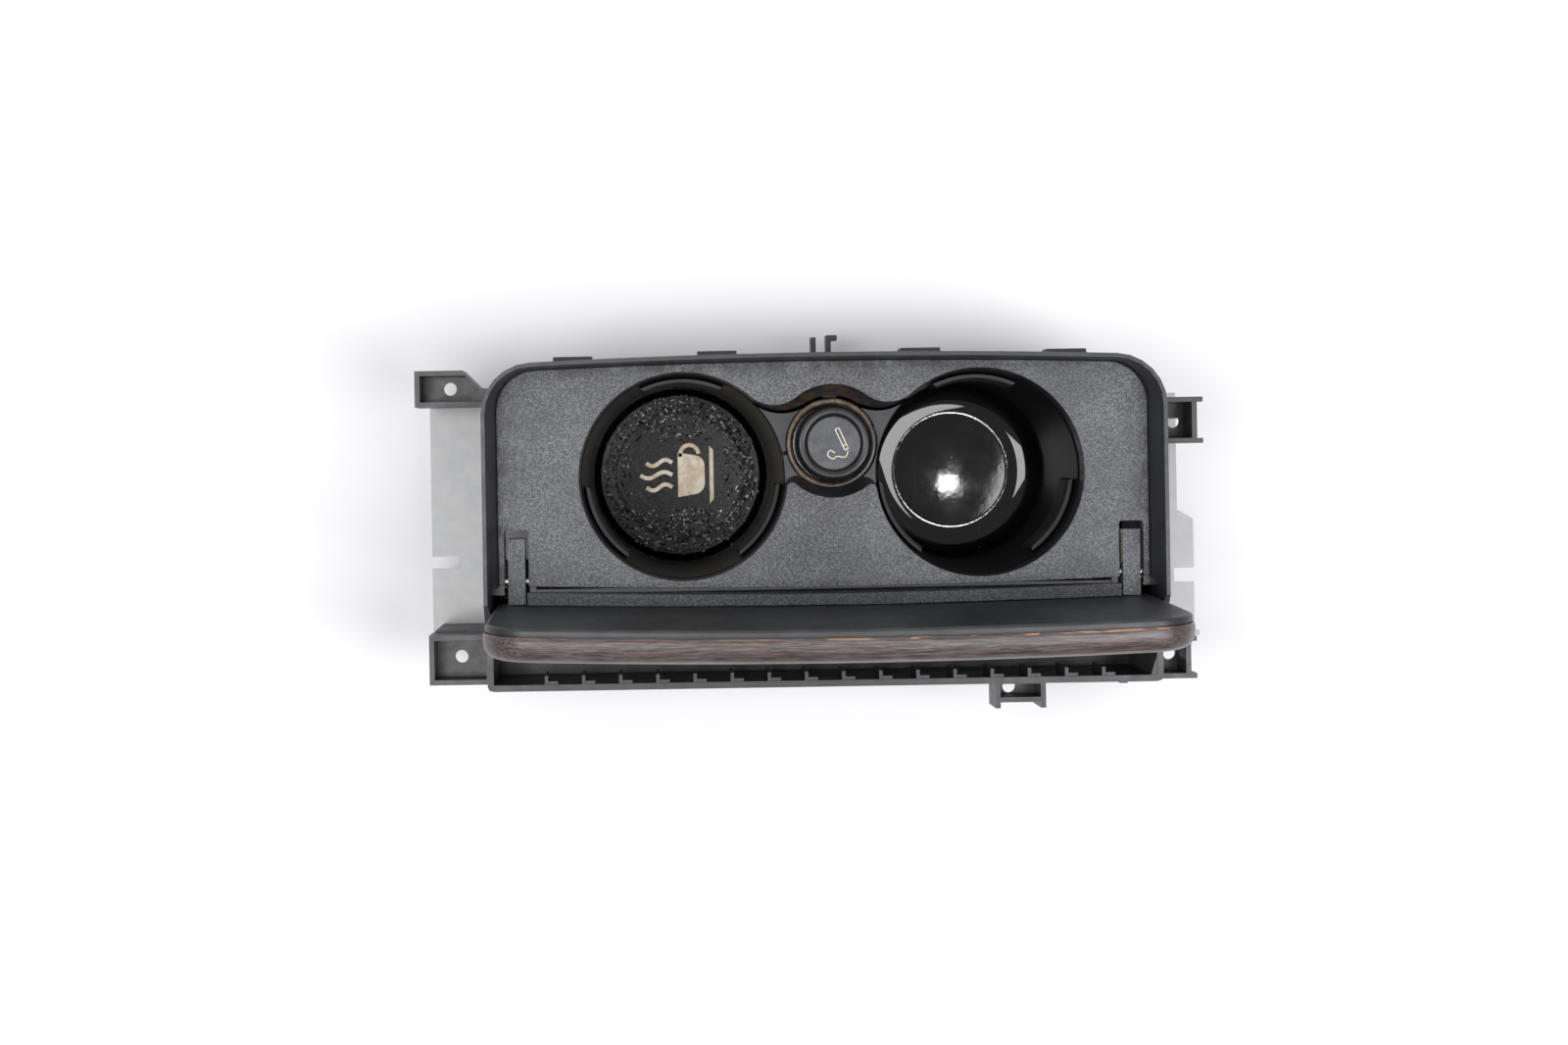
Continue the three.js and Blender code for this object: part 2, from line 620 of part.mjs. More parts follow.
// ---------------------------------------------------------------- gears
// Involute tooth flanks: half the tooth's angle at a radius, for a gear of this pitch radius.
function halfAngle(radius, pitchRadius, teeth) {
  const base = pitchRadius * Math.cos(deg(GEAR.pressure));
  const involute = (r) => {
    const a = Math.acos(Math.min(1, base / Math.max(r, base)));
    return Math.tan(a) - a;
  };
  const atPitch = Math.PI / (2 * teeth) - GEAR.backlash / (2 * pitchRadius);
  return atPitch + involute(pitchRadius) - involute(radius);
}

// Tooth outlines from angle to angle, each tooth centred on first + k * pitch.
function toothPoints(teeth, first, count, tip, root) {
  const pitchRadius = (GEAR.module * teeth) / 2;
  const pitch = (2 * Math.PI) / teeth;
  const levels = [0, 0.35, 0.7, 1].map((share) => root + (tip - root) * share);
  const points = [];
  for (let k = 0; k < count; k += 1) {
    const middle = first + k * pitch;
    const flank = levels.map((radius) => [radius, halfAngle(radius, pitchRadius, teeth)]);
    const place = (radius, angle) => [radius * Math.cos(angle), radius * Math.sin(angle)];
    flank.forEach(([radius, half]) => points.push(place(radius, middle - half)));
    [...flank].reverse().forEach(([radius, half]) => points.push(place(radius, middle + half)));
  }
  return points;
}

const SECTOR_RADIUS = (GEAR.module * GEAR.sector) / 2;
const PINION_RADIUS = (GEAR.module * GEAR.pinion) / 2;
const GEAR_REACH = SECTOR_RADIUS + PINION_RADIUS + 0.04;
const pinionCentre = {
  y: PIVOT.y + GEAR_REACH * Math.cos(deg(-GEAR.angle)),
  z: PIVOT.z + GEAR_REACH * Math.sin(deg(-GEAR.angle)),
};

const gearFace = {
  x0: MID_X + ARM.offset - ARM.width / 2,
  x1: MID_X + ARM.offset - ARM.width / 2 + GEAR.face,
};

// In the lid's own frame, whose Y runs along the closed lid from the pivot.
function sectorGear() {
  const pitch = 360 / GEAR.sector;
  const teeth = 13;
  // the pinion's direction in the lid's frame, where the open lid is turned by OPEN_ANGLE
  const line = -GEAR.angle - OPEN_ANGLE;
  const first = deg(line - 1.5 * pitch);
  const points = toothPoints(GEAR.sector, first, teeth, SECTOR_RADIUS + 0.6, SECTOR_RADIUS - 0.85);
  const web = [[1.2, -15], [1.2, -4.5], [-2.6, -2.6], [-3.2, 1.5]];
  return sideways([...points, ...web], gearFace.x0, gearFace.x1);
}

function damperPinion() {
  const line = deg(180 - GEAR.angle);
  const points = toothPoints(GEAR.pinion, line, GEAR.pinion, PINION_RADIUS + 0.6, PINION_RADIUS - 0.95);
  const gear = sideways(points, gearFace.x0 - 0.1, gearFace.x1 + 0.1);
  const shaft = rod(1.4, DAMPER.outer - 3, gearFace.x0, 0, 0, 16);
  return union(gear, shaft);
}

function damperBody() {
  const { radius, inner, outer } = DAMPER;
  const drum = rod(radius, inner, outer, pinionCentre.y, pinionCentre.z, 32);
  const socket = rod(1.7, outer - 3.4, outer + 1, pinionCentre.y, pinionCentre.z, 16);
  return cut(drum, socket);
}

// ---------------------------------------------------------------- lid, in its own frame
const crown = (x) => CROWN.base + CROWN.rise * (1 - ((x - MID_X) / LID.half) ** 2);
const lidPlan = {
  half: LID.half,
  rear: LID.far - LID.bulge,
  bulge: LID.bulge,
  front: LID.near,
  radius: LID.radius,
  frontRadius: LID.nearRadius,
};

// Outlines of the lid from [inset, height] pairs, heights counted from the crowned inner face.
function lidLevels(list, extra) {
  return stacked(list.map(([inset, height]) => ({
    plan: lidPlan,
    inset: inset + extra,
    z: (x) => crown(x) + height,
  })));
}

function lidShell() {
  const t = SHELL.thick;
  const shell = lidLevels([[1.2, 0], [0.35, 0.35], [0, 1.2], [0, t]], SHELL.inset);
  const holes = [-1, 1].map((side) => disc(1.5, crown(0) - 4, crown(0) + 1.6, screwX(side), -9, 16));
  return cut(shell, ...holes);
}

const lidCover = () =>
  lidLevels(
    [[1.1, 3.3], [0.3, 4.0], [0, 5.4], [0, 7.6], [0.5, 9.4], [1.6, 11], [3.4, 12.1], [6.5, 12.8]],
    0,
  );

// Where the line that lies level with the deck, when the lid is open, crosses a height of the lid's frame.
const flush = (z) => ARM.rise + Math.tan(deg(OPEN_ANGLE - 90)) * z;

function hingeStrip() {
  const level = (share) => (x) => {
    const bow = 1 - ((x - MID_X) / STRIP.half) ** 2;
    const low = STRIP.rear + 2.1 * Math.max(0, bow);
    return low + (crown(x) - GAP - low) * share;
  };
  const plan = {
    half: STRIP.half,
    rear: ARM.rise,
    front: STRIP.near,
    radius: 0.5,
    frontRadius: 0.5,
  };
  return stacked([{ plan, z: level(0) }, { plan, z: level(1) }]);
}

// Arm seen from the side: a beam through the pivot, flush with the deck when the lid is open.
function hingeArm(side) {
  const x = armCentre(side);
  const x0 = x - ARM.width / 2;
  const x1 = x + ARM.width / 2;
  const foot = crown(x) - GAP;
  const outline = [
    [flush(-ARM.tail), -ARM.tail], [flush(foot), foot], [-12, foot], [-12, foot - 2.4],
    [-6, foot - 2.4], [-5, foot - 4.5], [-5.5, -9], [-2.5, -ARM.tail],
  ];
  const beam = sideways(outline, x0, x1);
  const room = [[1.6, -20], [1.6, -4.1], [-2.2, -2.2], [-2.8, 2], [-12, 5.5], [-20, 8], [-20, -20]];
  const relief = side > 0 ? [sideways(room.reverse(), x0 - 1, gearFace.x1 + GAP)] : [];
  return cut(
    beam,
    rod(PIVOT.bore, x0 - 1, x1 + 1, 0, 0),
    disc(1.5, foot - 5, foot + 1, screwX(side), -9, 16),
    ...relief,
  );
}

const hingePin = (side) => rod(PIVOT.pin, armCentre(side) - 7.2, armCentre(side) + 7.2, PIVOT.y, PIVOT.z, 20);

function armScrews() {
  return [-1, 1].map((side) => {
    const x = screwX(side);
    const foot = crown(armCentre(side)) - GAP;
    return union(
      disc(1.2, foot - 3, foot + 2.2, x, -9, 14),
      disc(2.4, foot - 4.3, foot - 2.7, x, -9, 14),
    );
  });
}

// Rubber block that the open lid leans against.
function stopBuffer(side) {
  const x = MID_X + side * 70;
  const back = POCKET.rear - 2 - GAP;
  const face = PIVOT.y - crown(x) + 1.6;
  return box(x - 5, x + 5, face, back, -28, -20);
}

// ---------------------------------------------------------------- materials and assembly
const finish = (color, roughness, metalness = 0) => ({ color, roughness, metalness });
const moulded = finish(0x2e3033, 0.55);
const softGrey = finish(0x5c6065, 0.75);
const gloss = finish(0x0c0c0d, 0.15);
const rubber = finish(0x18181a, 0.85);
const steel = finish(0xb4b6ba, 0.3, 1);
const brass = finish(0xb08d4a, 0.35, 1);
const wood = finish(0x4a3430, 0.35);

const part = new THREE.Group();
part.position.set(2.4, 18.1, -BASE);

function addPiece(parent, name, body, look) {
  const mesh = new THREE.Mesh(geometryOf(body), new THREE.MeshStandardMaterial(look));
  mesh.name = name;
  parent.add(mesh);
  return mesh;
}

addPiece(part, "housing", housing(), moulded);
addPiece(part, "deck", deck(), softGrey);
addPiece(part, "well_liner_left", wellLiner(-WELL.x), gloss);
addPiece(part, "well_liner_right", wellLiner(WELL.x), gloss);
["left", "right"].forEach((word, i) => {
  const x = (i * 2 - 1) * WELL.x;
  GRIP.angles.forEach((angle, k) => addPiece(part, `grip_pad_${word}_${k + 1}`, grip(x, angle), rubber));
});
addPiece(part, "well_mat", mat(), rubber);

const lighterLooks = {
  light_ring: finish(0x7a5b40, 0.4),
  socket_retainer: moulded,
  socket_shell: steel,
  contact_insulator: finish(0xd8cfc0, 0.6),
  centre_contact: brass,
  lighter_sleeve: steel,
  lighter_knob: finish(0x1a1b1c, 0.45),
  lighter_knob_face: finish(0x55585c, 0.7),
  lighter_rod: steel,
  heating_element: finish(0x8a7f78, 0.5, 1),
};
for (const [name, make] of Object.entries(lighterPieces)) addPiece(part, name, make(), lighterLooks[name]);
addPiece(part, "socket_clip", bimetalClip(), steel);
addPiece(part, "lighter_spring", lighterSpring(), steel);
addPiece(part, "lamp_holder", lampHolder(), moulded);
addPiece(part, "power_connector", powerConnector(), finish(0x202224, 0.6));

addPiece(part, "hinge_pin_left", hingePin(-1), steel);
addPiece(part, "hinge_pin_right", hingePin(1), steel);
addPiece(part, "damper_body", damperBody(), moulded);
const pinion = addPiece(part, "damper_pinion", damperPinion(), finish(0xd9d4c6, 0.5));
pinion.position.set(0, pinionCentre.y, pinionCentre.z);
addPiece(part, "stop_buffer_left", stopBuffer(-1), rubber);
addPiece(part, "stop_buffer_right", stopBuffer(1), rubber);

const lid = new THREE.Group();
lid.position.set(0, PIVOT.y, PIVOT.z);
lid.rotation.x = deg(OPEN_ANGLE);
part.add(lid);
addPiece(lid, "lid_shell", lidShell(), moulded);
addPiece(lid, "lid_cover", lidCover(), wood);
addPiece(lid, "hinge_strip", hingeStrip(), softGrey);
addPiece(lid, "hinge_arm_left", hingeArm(-1), softGrey);
addPiece(lid, "hinge_arm_right", hingeArm(1), softGrey);
addPiece(lid, "sector_gear", sectorGear(), finish(0xd9d4c6, 0.5));
armScrews().forEach((body, i) => addPiece(lid, `arm_screw_${["left", "right"][i]}`, body, steel));

export default part;
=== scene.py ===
import math

import bmesh
import bpy
import numpy as np
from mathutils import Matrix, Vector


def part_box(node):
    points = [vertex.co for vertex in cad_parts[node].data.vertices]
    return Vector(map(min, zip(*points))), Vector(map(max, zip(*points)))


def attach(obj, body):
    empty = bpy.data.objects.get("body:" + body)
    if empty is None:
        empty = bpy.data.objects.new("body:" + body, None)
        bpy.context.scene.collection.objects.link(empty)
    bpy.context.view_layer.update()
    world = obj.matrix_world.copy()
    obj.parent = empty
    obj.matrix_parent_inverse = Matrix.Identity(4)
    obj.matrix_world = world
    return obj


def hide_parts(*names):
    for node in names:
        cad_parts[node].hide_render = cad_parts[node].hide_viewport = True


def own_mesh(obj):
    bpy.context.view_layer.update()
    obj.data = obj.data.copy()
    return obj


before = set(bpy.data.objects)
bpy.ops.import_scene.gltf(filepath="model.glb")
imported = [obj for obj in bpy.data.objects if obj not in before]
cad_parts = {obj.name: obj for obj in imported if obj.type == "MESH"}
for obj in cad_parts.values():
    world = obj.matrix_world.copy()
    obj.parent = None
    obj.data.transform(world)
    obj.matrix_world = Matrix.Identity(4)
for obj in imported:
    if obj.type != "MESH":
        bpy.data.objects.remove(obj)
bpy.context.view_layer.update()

# ---------------------------------------------------------------- sizes and places
# Millimetres from here on: X and Y from the point midway between the wells, Z from the top of the deck.
MM = 0.001
HOUSING_CORNER = np.array([-162.3, -93.0, -88.0])
SHIFT = np.array(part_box("housing")[0]) - HOUSING_CORNER * MM

WELL_X, MOUTH, FOOT, WELL_FLOOR, BASE = 57.6, 40.5, 35.6, -85.0, -88.0
LIGHTER = (0.7, 12.0)
RECESS = (0.7, 13.0)
MIDDLE_X = -3.5
PIVOT = (-39.8, -3.5)
OPEN_ANGLE = math.radians(92)
LID_HALF, LID_FAR, LID_NEAR, LID_BULGE = 128.2, 84.0, -26.5, 3.0
LID_BASE, LID_CROWN = 8.8, 2.2
ARM_OFFSET, SLOT_HALF, SLOT_DEPTH = 119.3, 4.65, 21.3
DECK_HALF, DECK_REAR, DECK_BULGE, DECK_FRONT, DECK_SAG = 126.3, 41.5, 2.6, -41.2, 2.4
CAMERA_AT = (-70.4, 8.3, 850.0)
CAMERA_ROLL = math.radians(-0.95)
# In metres in the frame: the flanges' top, the outside of the end walls, and the top of the bowl's curve.
FLANGE_TOP, WALL_OUTSIDE, BOWL_TOP = 0.0225, 0.1308, 0.012


def placed(points):
    """Points in millimetres from the middle of the deck's top, moved into the frame, in metres."""
    return np.asarray(points, float) * MM + SHIFT


def on_lid(points):
    """Points given on the closed lid, measured from its pivot, swung open and placed."""
    p = np.asarray(points, float)
    c, s = math.cos(OPEN_ANGLE), math.sin(OPEN_ANGLE)
    y = PIVOT[0] + p[..., 1] * c - p[..., 2] * s
    z = PIVOT[1] + p[..., 1] * s + p[..., 2] * c
    return placed(np.stack([p[..., 0], y, z], -1))


# ---------------------------------------------------------------- shapes
def rounded(corners, setback, steps=5, closed=True):
    """A polyline whose corners are replaced by parabolic arcs that start a setback before each corner."""
    corners = np.asarray(corners, float)
    count = len(corners)
    backs = np.broadcast_to(np.asarray(setback, float), (count,))
    t = np.linspace(0, 1, steps)[:, None]
    out = []
    for i in range(count):
        here = corners[i]
        if not closed and i in (0, count - 1) or backs[i] <= 0:
            out.append(here[None])
            continue
        before, after = corners[i - 1] - here, corners[(i + 1) % count] - here
        first = here + before * min(0.49, backs[i] / np.linalg.norm(before))
        last = here + after * min(0.49, backs[i] / np.linalg.norm(after))
        out.append((1 - t) ** 2 * first + 2 * t * (1 - t) * here + t**2 * last)
    return np.concatenate(out)


def grid_shell(grid, wrap_u=True, wrap_v=True, ends=False):
    """Vertices and faces of a grid of points; wrapped directions join up, and ends closes both ends of u."""
    nu, nv = grid.shape[:2]
    index = np.arange(nu * nv).reshape(nu, nv)
    rows = np.arange(nu if wrap_u else nu - 1)
    cols = np.arange(nv if wrap_v else nv - 1)
    i, j = np.meshgrid(rows, cols, indexing="ij")
    k, m = (i + 1) % nu, (j + 1) % nv
    faces = np.stack([index[i, j], index[k, j], index[k, m], index[i, m]], -1).reshape(-1, 4).tolist()
    if ends:
        faces += [index[0].tolist(), index[-1][::-1].tolist()]
    return grid.reshape(-1, 3), faces


def turned(profile, centre, segments=96, closed=True):
    """A profile of (radius, height) pairs turned about a vertical axis through centre."""
    profile = np.asarray(profile, float)
    angle = np.linspace(0, 2 * np.pi, segments, endpoint=False)[:, None]
    x = centre[0] + profile[None, :, 0] * np.cos(angle)
    y = centre[1] + profile[None, :, 0] * np.sin(angle)
    z = np.broadcast_to(profile[None, :, 1], x.shape)
    return grid_shell(placed(np.stack([x, y, z], -1)), True, closed)


def arc(centre, radius, start, end, steps):
    """Points on a circle between two angles, both ends left out by half a step."""
    angle = start + (end - start) * (np.arange(steps) + 0.5) / steps
    return np.stack([centre[0] + radius * np.cos(angle), centre[1] + radius * np.sin(angle)], -1)


def fillet_centre(a, ra, b, rb, radius, side):
    """Centre of the circle that touches circles a and b from outside, left (1) or right (-1) of a to b."""
    a, b = np.array(a), np.array(b)
    d = b - a
    span = np.hypot(*d)
    along = ((ra + radius) ** 2 - (rb + radius) ** 2 + span**2) / (2 * span)
    across = side * math.sqrt((ra + radius) ** 2 - along**2)
    return a + (d * along + np.array([-d[1], d[0]]) * across) / span


def bearing(start, end):
    """Direction from one point to another, as an angle from the X axis."""
    return math.atan2(end[1] - start[1], end[0] - start[0])


def short_arc(centre, radius, start, end, steps):
    """The shorter arc from the bearing of start to the bearing of end."""
    first = bearing(centre, start)
    turn = (bearing(centre, end) - first + math.pi) % (2 * math.pi) - math.pi
    return arc(centre, radius, first, first + turn, steps)


def bone(t, grow=0.0):
    """Outline of the recess at share t of its depth: wells and lighter circle joined by fillets."""
    well, middle = MOUTH - 0.6 * t + grow, 22 - 4.2 * t + grow
    rear, cusp = 14 + 4 * t - grow, max(0.8, 2 + 3 * t - grow)
    right, left = (WELL_X, 0.0), (-WELL_X, 0.0)
    rear_right = fillet_centre(RECESS, middle, right, well, rear, 1)
    rear_left = fillet_centre(left, well, RECESS, middle, rear, 1)
    front_right = fillet_centre(RECESS, middle, right, well, cusp, -1)
    front_left = fillet_centre(left, well, RECESS, middle, cusp, -1)

    def swell(centre, radius, a, b, steps):
        start, end = bearing(centre, a), bearing(centre, b)
        return arc(centre, radius, start, end + 2 * math.pi * (end < start), steps)

    def notch(centre, radius, a, b, steps):
        start, end = bearing(centre, a), bearing(centre, b)
        return arc(centre, radius, start, end - 2 * math.pi * (end > start), steps)

    return np.concatenate([
        swell(right, well, front_right, rear_right, 90),
        notch(rear_right, rear, right, RECESS, 14),
        swell(RECESS, middle, rear_right, rear_left, 30),
        notch(rear_left, rear, RECESS, left, 14),
        swell(left, well, rear_left, front_left, 90),
        notch(front_left, cusp, left, RECESS, 8),
        swell(RECESS, middle, front_left, front_right, 26),
        notch(front_right, cusp, RECESS, right, 8),
    ])


def panel_stations(half, far, near, bulge, sag, far_radius, near_radius):
    """Front and rear edge of a long panel at stations that crowd into the round corners."""
    corner = np.sin(np.linspace(0, np.pi / 2, 15))
    reach = max(far_radius, near_radius)
    distance = reach * (1 - corner[::-1])
    middle = np.linspace(reach, half, 26)[1:]
    distance = np.concatenate([distance, middle])
    x = np.concatenate([-(half - distance), (half - distance)[::-1][1:]])
    share = x / half
    gap = half - np.abs(x)

    def drop(radius):
        inside = np.clip(radius - gap, 0, None)
        return radius - np.sqrt(np.clip(radius**2 - inside**2, 0, None))

    bow = 1 - share**2
    return MIDDLE_X + x, near - sag * bow + drop(near_radius), far + bulge * bow - drop(far_radius)


def panel(levels, lift):
    """Stacked outlines of a long panel, from (inset, height) pairs; lift(x) raises each point."""
    rings = []
    for inset, height, plan in levels:
        x, near, far = panel_stations(
            plan["half"] - inset, plan["far"] - inset, plan["near"] + inset, plan["bulge"], 0,
            max(0.6, plan["far_radius"] - inset), max(0.6, plan["near_radius"] - inset),
        )
        z = lift(x) + height
        ring = np.concatenate([np.stack([x, near, z], -1), np.stack([x, far, z], -1)[::-1]])
        rings.append(ring)
    grid = np.stack(rings)
    vertices, faces = grid_shell(grid, False, True)
    count = grid.shape[1]
    half = count // 2
    top = (len(rings) - 1) * count
    for i in range(half - 1):
        rear = count - 1 - i
        faces.append([i, rear, rear - 1, i + 1])
        faces.append([top + i, top + i + 1, top + rear - 1, top + rear])
    return vertices, faces


def at_height(flat, z):
    """Flat (x, y) points as (x, y, z) points, all at one height."""
    return np.concatenate([flat, np.full((len(flat), 1), z)], 1)


def stroke(path, width, low, high, closed=False):
    """A raised line of even width along a flat path of (x, y) points, with softened top edges."""
    path = np.asarray(path, float)
    if closed:
        tangent = np.roll(path, -1, 0) - np.roll(path, 1, 0)
    else:
        tangent = np.gradient(path, axis=0)
    tangent /= np.linalg.norm(tangent, axis=1)[:, None]
    normal = np.stack([-tangent[:, 1], tangent[:, 0]], -1)
    soft = min(width, high - low) * 0.3
    section = [(-0.5, low, 0), (-0.5, high - soft, 0), (-0.5, high, soft), (0.5, high, -soft),
               (0.5, high - soft, 0), (0.5, low, 0)]
    rows = []
    for share, z, inward in section:
        rows.append(at_height(path + normal * (share * width + inward), z))
    return grid_shell(np.stack(rows, 1), closed, True, not closed)


def slab(outline, low, high, soft=0.15):
    """A flat plate of any simple outline, its edges softened by rings moved in at top and bottom."""
    outline = np.asarray(outline, float)
    following = np.roll(outline, -1, 0)
    side = following - outline
    side /= np.linalg.norm(side, axis=1)[:, None]
    tangent = side + np.roll(side, 1, 0)
    tangent /= np.linalg.norm(tangent, axis=1)[:, None]
    inward = np.stack([-tangent[:, 1], tangent[:, 0]], -1)
    inward *= np.sign(np.sum(outline[:, 0] * following[:, 1] - outline[:, 1] * following[:, 0]))
    rows = [(soft, low), (0, low + soft), (0, high - soft), (soft, high)]
    rings = [at_height(outline + inward * move, z) for move, z in rows]
    return grid_shell(np.stack(rings), False, True, True)


def joined(shells, place=placed):
    """Several shells of vertices and faces as one, placed in the frame."""
    points, faces, start = [], [], 0
    for vertices, shell_faces in shells:
        points.append(vertices)
        faces += [[start + k for k in face] for face in shell_faces]
        start += len(vertices)
    return place(np.concatenate(points)), faces


# ---------------------------------------------------------------- pieces
SHARP = math.radians(38)


def finish_mesh(mesh, sharp=SHARP):
    """Merges doubles, points every face outwards and shades smooth but for sharp edges."""
    work = bmesh.new()
    work.from_mesh(mesh)
    bmesh.ops.remove_doubles(work, verts=work.verts, dist=2e-7)
    bmesh.ops.dissolve_degenerate(work, edges=work.edges, dist=1e-7)
    bmesh.ops.recalc_face_normals(work, faces=work.faces)
    work.to_mesh(mesh)
    work.free()
    mesh.shade_smooth()
    mesh.set_sharp_from_angle(angle=sharp)


def piece(name, shell, look, body, nodes=(), sharp=SHARP):
    """A new piece: its mesh, its finish, the body it rides on and the CAD nodes it stands for."""
    vertices, faces = shell
    mesh = bpy.data.meshes.new(name)
    mesh.from_pydata([tuple(v) for v in vertices.tolist()], [], faces)
    finish_mesh(mesh, sharp)
    made = bpy.data.objects.new(name, mesh)
    bpy.context.scene.collection.objects.link(made)
    mesh.materials.append(look)
    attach(made, body)
    if nodes:
        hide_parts(*nodes)
    return made


def refined(node, look, body, bevel=0.3, segments=2, angle=35):
    """A copy of a CAD piece with its flat faces whole again and its edges broken by a small bevel."""
    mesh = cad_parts[node].data.copy()
    mesh.name = node + "_fine"
    work = bmesh.new()
    work.from_mesh(mesh)
    bmesh.ops.remove_doubles(work, verts=work.verts, dist=3e-6)
    bmesh.ops.dissolve_limit(work, angle_limit=math.radians(0.6), verts=work.verts, edges=work.edges)
    work.to_mesh(mesh)
    work.free()
    mesh.shade_smooth()
    mesh.set_sharp_from_angle(angle=math.radians(angle))
    made = bpy.data.objects.new(node + "_fine", mesh)
    bpy.context.scene.collection.objects.link(made)
    edge = made.modifiers.new("broken edges", "BEVEL")
    edge.width = bevel * MM
    edge.segments = segments
    edge.limit_method = "ANGLE"
    edge.angle_limit = math.radians(angle)
    edge.harden_normals = True
    even = made.modifiers.new("even shading", "WEIGHTED_NORMAL")
    even.weight = 90
    even.keep_sharp = True
    mesh.materials.clear()
    mesh.materials.append(look)
    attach(made, body)
    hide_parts(node)
    return made


# ---------------------------------------------------------------- materials
def linear(code, alpha=1.0):
    """An sRGB hex colour as the linear values that Blender's shaders take."""
    parts = [int(code[i:i + 2], 16) / 255 for i in (0, 2, 4)]
    return tuple(c / 12.92 if c <= 0.04045 else ((c + 0.055) / 1.055) ** 2.4 for c in parts) + (alpha,)


def per(size_mm):
    """Texture scale at which one cell of a pattern is this many millimetres wide."""
    return 1000.0 / size_mm


def add(tree, kind, inputs=None, **settings):
    """Adds a node with its settings; each input is a value or the socket that feeds it."""
    made = tree.nodes.new(kind)
    for name, value in settings.items():
        setattr(made, name, value)
    for key, value in (inputs or {}).items():
        if isinstance(value, bpy.types.NodeSocket):
            tree.links.new(value, made.inputs[key])
        else:
            made.inputs[key].default_value = value
    return made


def started(name, **shader):
    """A material with its Principled shader linked to the output, and its Object coordinates."""
    look = bpy.data.materials.new(name)
    look.use_nodes = True
    tree = look.node_tree
    tree.nodes.clear()
    body = add(tree, "ShaderNodeBsdfPrincipled", {k.replace("_", " "): v for k, v in shader.items()})
    add(tree, "ShaderNodeOutputMaterial", {"Surface": body.outputs[0]})
    place = add(tree, "ShaderNodeTexCoord").outputs["Object"]
    return look, tree, body, place


def blended(tree, share, first, second):
    """A colour between two colours by share."""
    mix = add(tree, "ShaderNodeMix", {0: share, 6: first, 7: second}, data_type="RGBA")
    return mix.outputs[2]


def near_point(tree, place, point, inner, outer):
    """1 within inner millimetres of a point, falling to 0 at outer."""
    spot = tuple(placed(point))
    apart = add(tree, "ShaderNodeVectorMath", {0: place, 1: spot}, operation="DISTANCE")
    spread = {"Value": apart.outputs["Value"], "From Min": inner * MM, "From Max": outer * MM,
              "To Min": 1.0, "To Max": 0.0}
    return add(tree, "ShaderNodeMapRange", spread, interpolation_type="SMOOTHSTEP").outputs[0]


def ramp(tree, value, start, end, to=(0.0, 1.0)):
    """The first of the given range below start, the second above end, and in proportion between them."""
    spread = {"Value": value, "From Min": start, "From Max": end, "To Min": to[0], "To Max": to[1]}
    return add(tree, "ShaderNodeMapRange", spread).outputs[0]


def along_axis(tree, place, axis):
    """The place along X, Y or Z, by number."""
    return add(tree, "ShaderNodeSeparateXYZ", {"Vector": place}).outputs[axis]


def faded(tree, share, first, second):
    """A number between two numbers by share."""
    return add(tree, "ShaderNodeMix", {0: share, 2: first, 3: second}, data_type="FLOAT").outputs[0]


def noise(tree, place, size, low, high, detail=3.0, to=(0.0, 1.0), rough=0.55):
    """Cloudy noise with cells of a size in millimetres, stretched so that low to high fills a range."""
    inputs = {"Vector": place, "Scale": per(size), "Detail": detail, "Roughness": rough}
    return ramp(tree, add(tree, "ShaderNodeTexNoise", inputs).outputs[0], low, high, to)


def multiplied(tree, first, second):
    """The product of two shares."""
    return add(tree, "ShaderNodeMath", {0: first, 1: second}, operation="MULTIPLY", use_clamp=True).outputs[0]


def bumped(tree, body, height, depth_mm, strength=1.0):
    """Lets a height from 0 to 1 turn the surface as relief of this depth would."""
    relief = add(tree, "ShaderNodeBump", {"Height": height, "Distance": depth_mm * MM, "Strength": strength})
    tree.links.new(relief.outputs[0], body.inputs["Normal"])


def from_middle(tree, place, near, far):
    """0 up to near metres to either side of the housing's middle, rising to 1 at far."""
    middle = placed((MIDDLE_X, 0, 0))[0]
    offset = add(tree, "ShaderNodeMath", {0: along_axis(tree, place, 0), 1: middle}, operation="SUBTRACT")
    reach = add(tree, "ShaderNodeMath", {0: offset.outputs[0]}, operation="ABSOLUTE")
    return ramp(tree, reach.outputs[0], near, far)


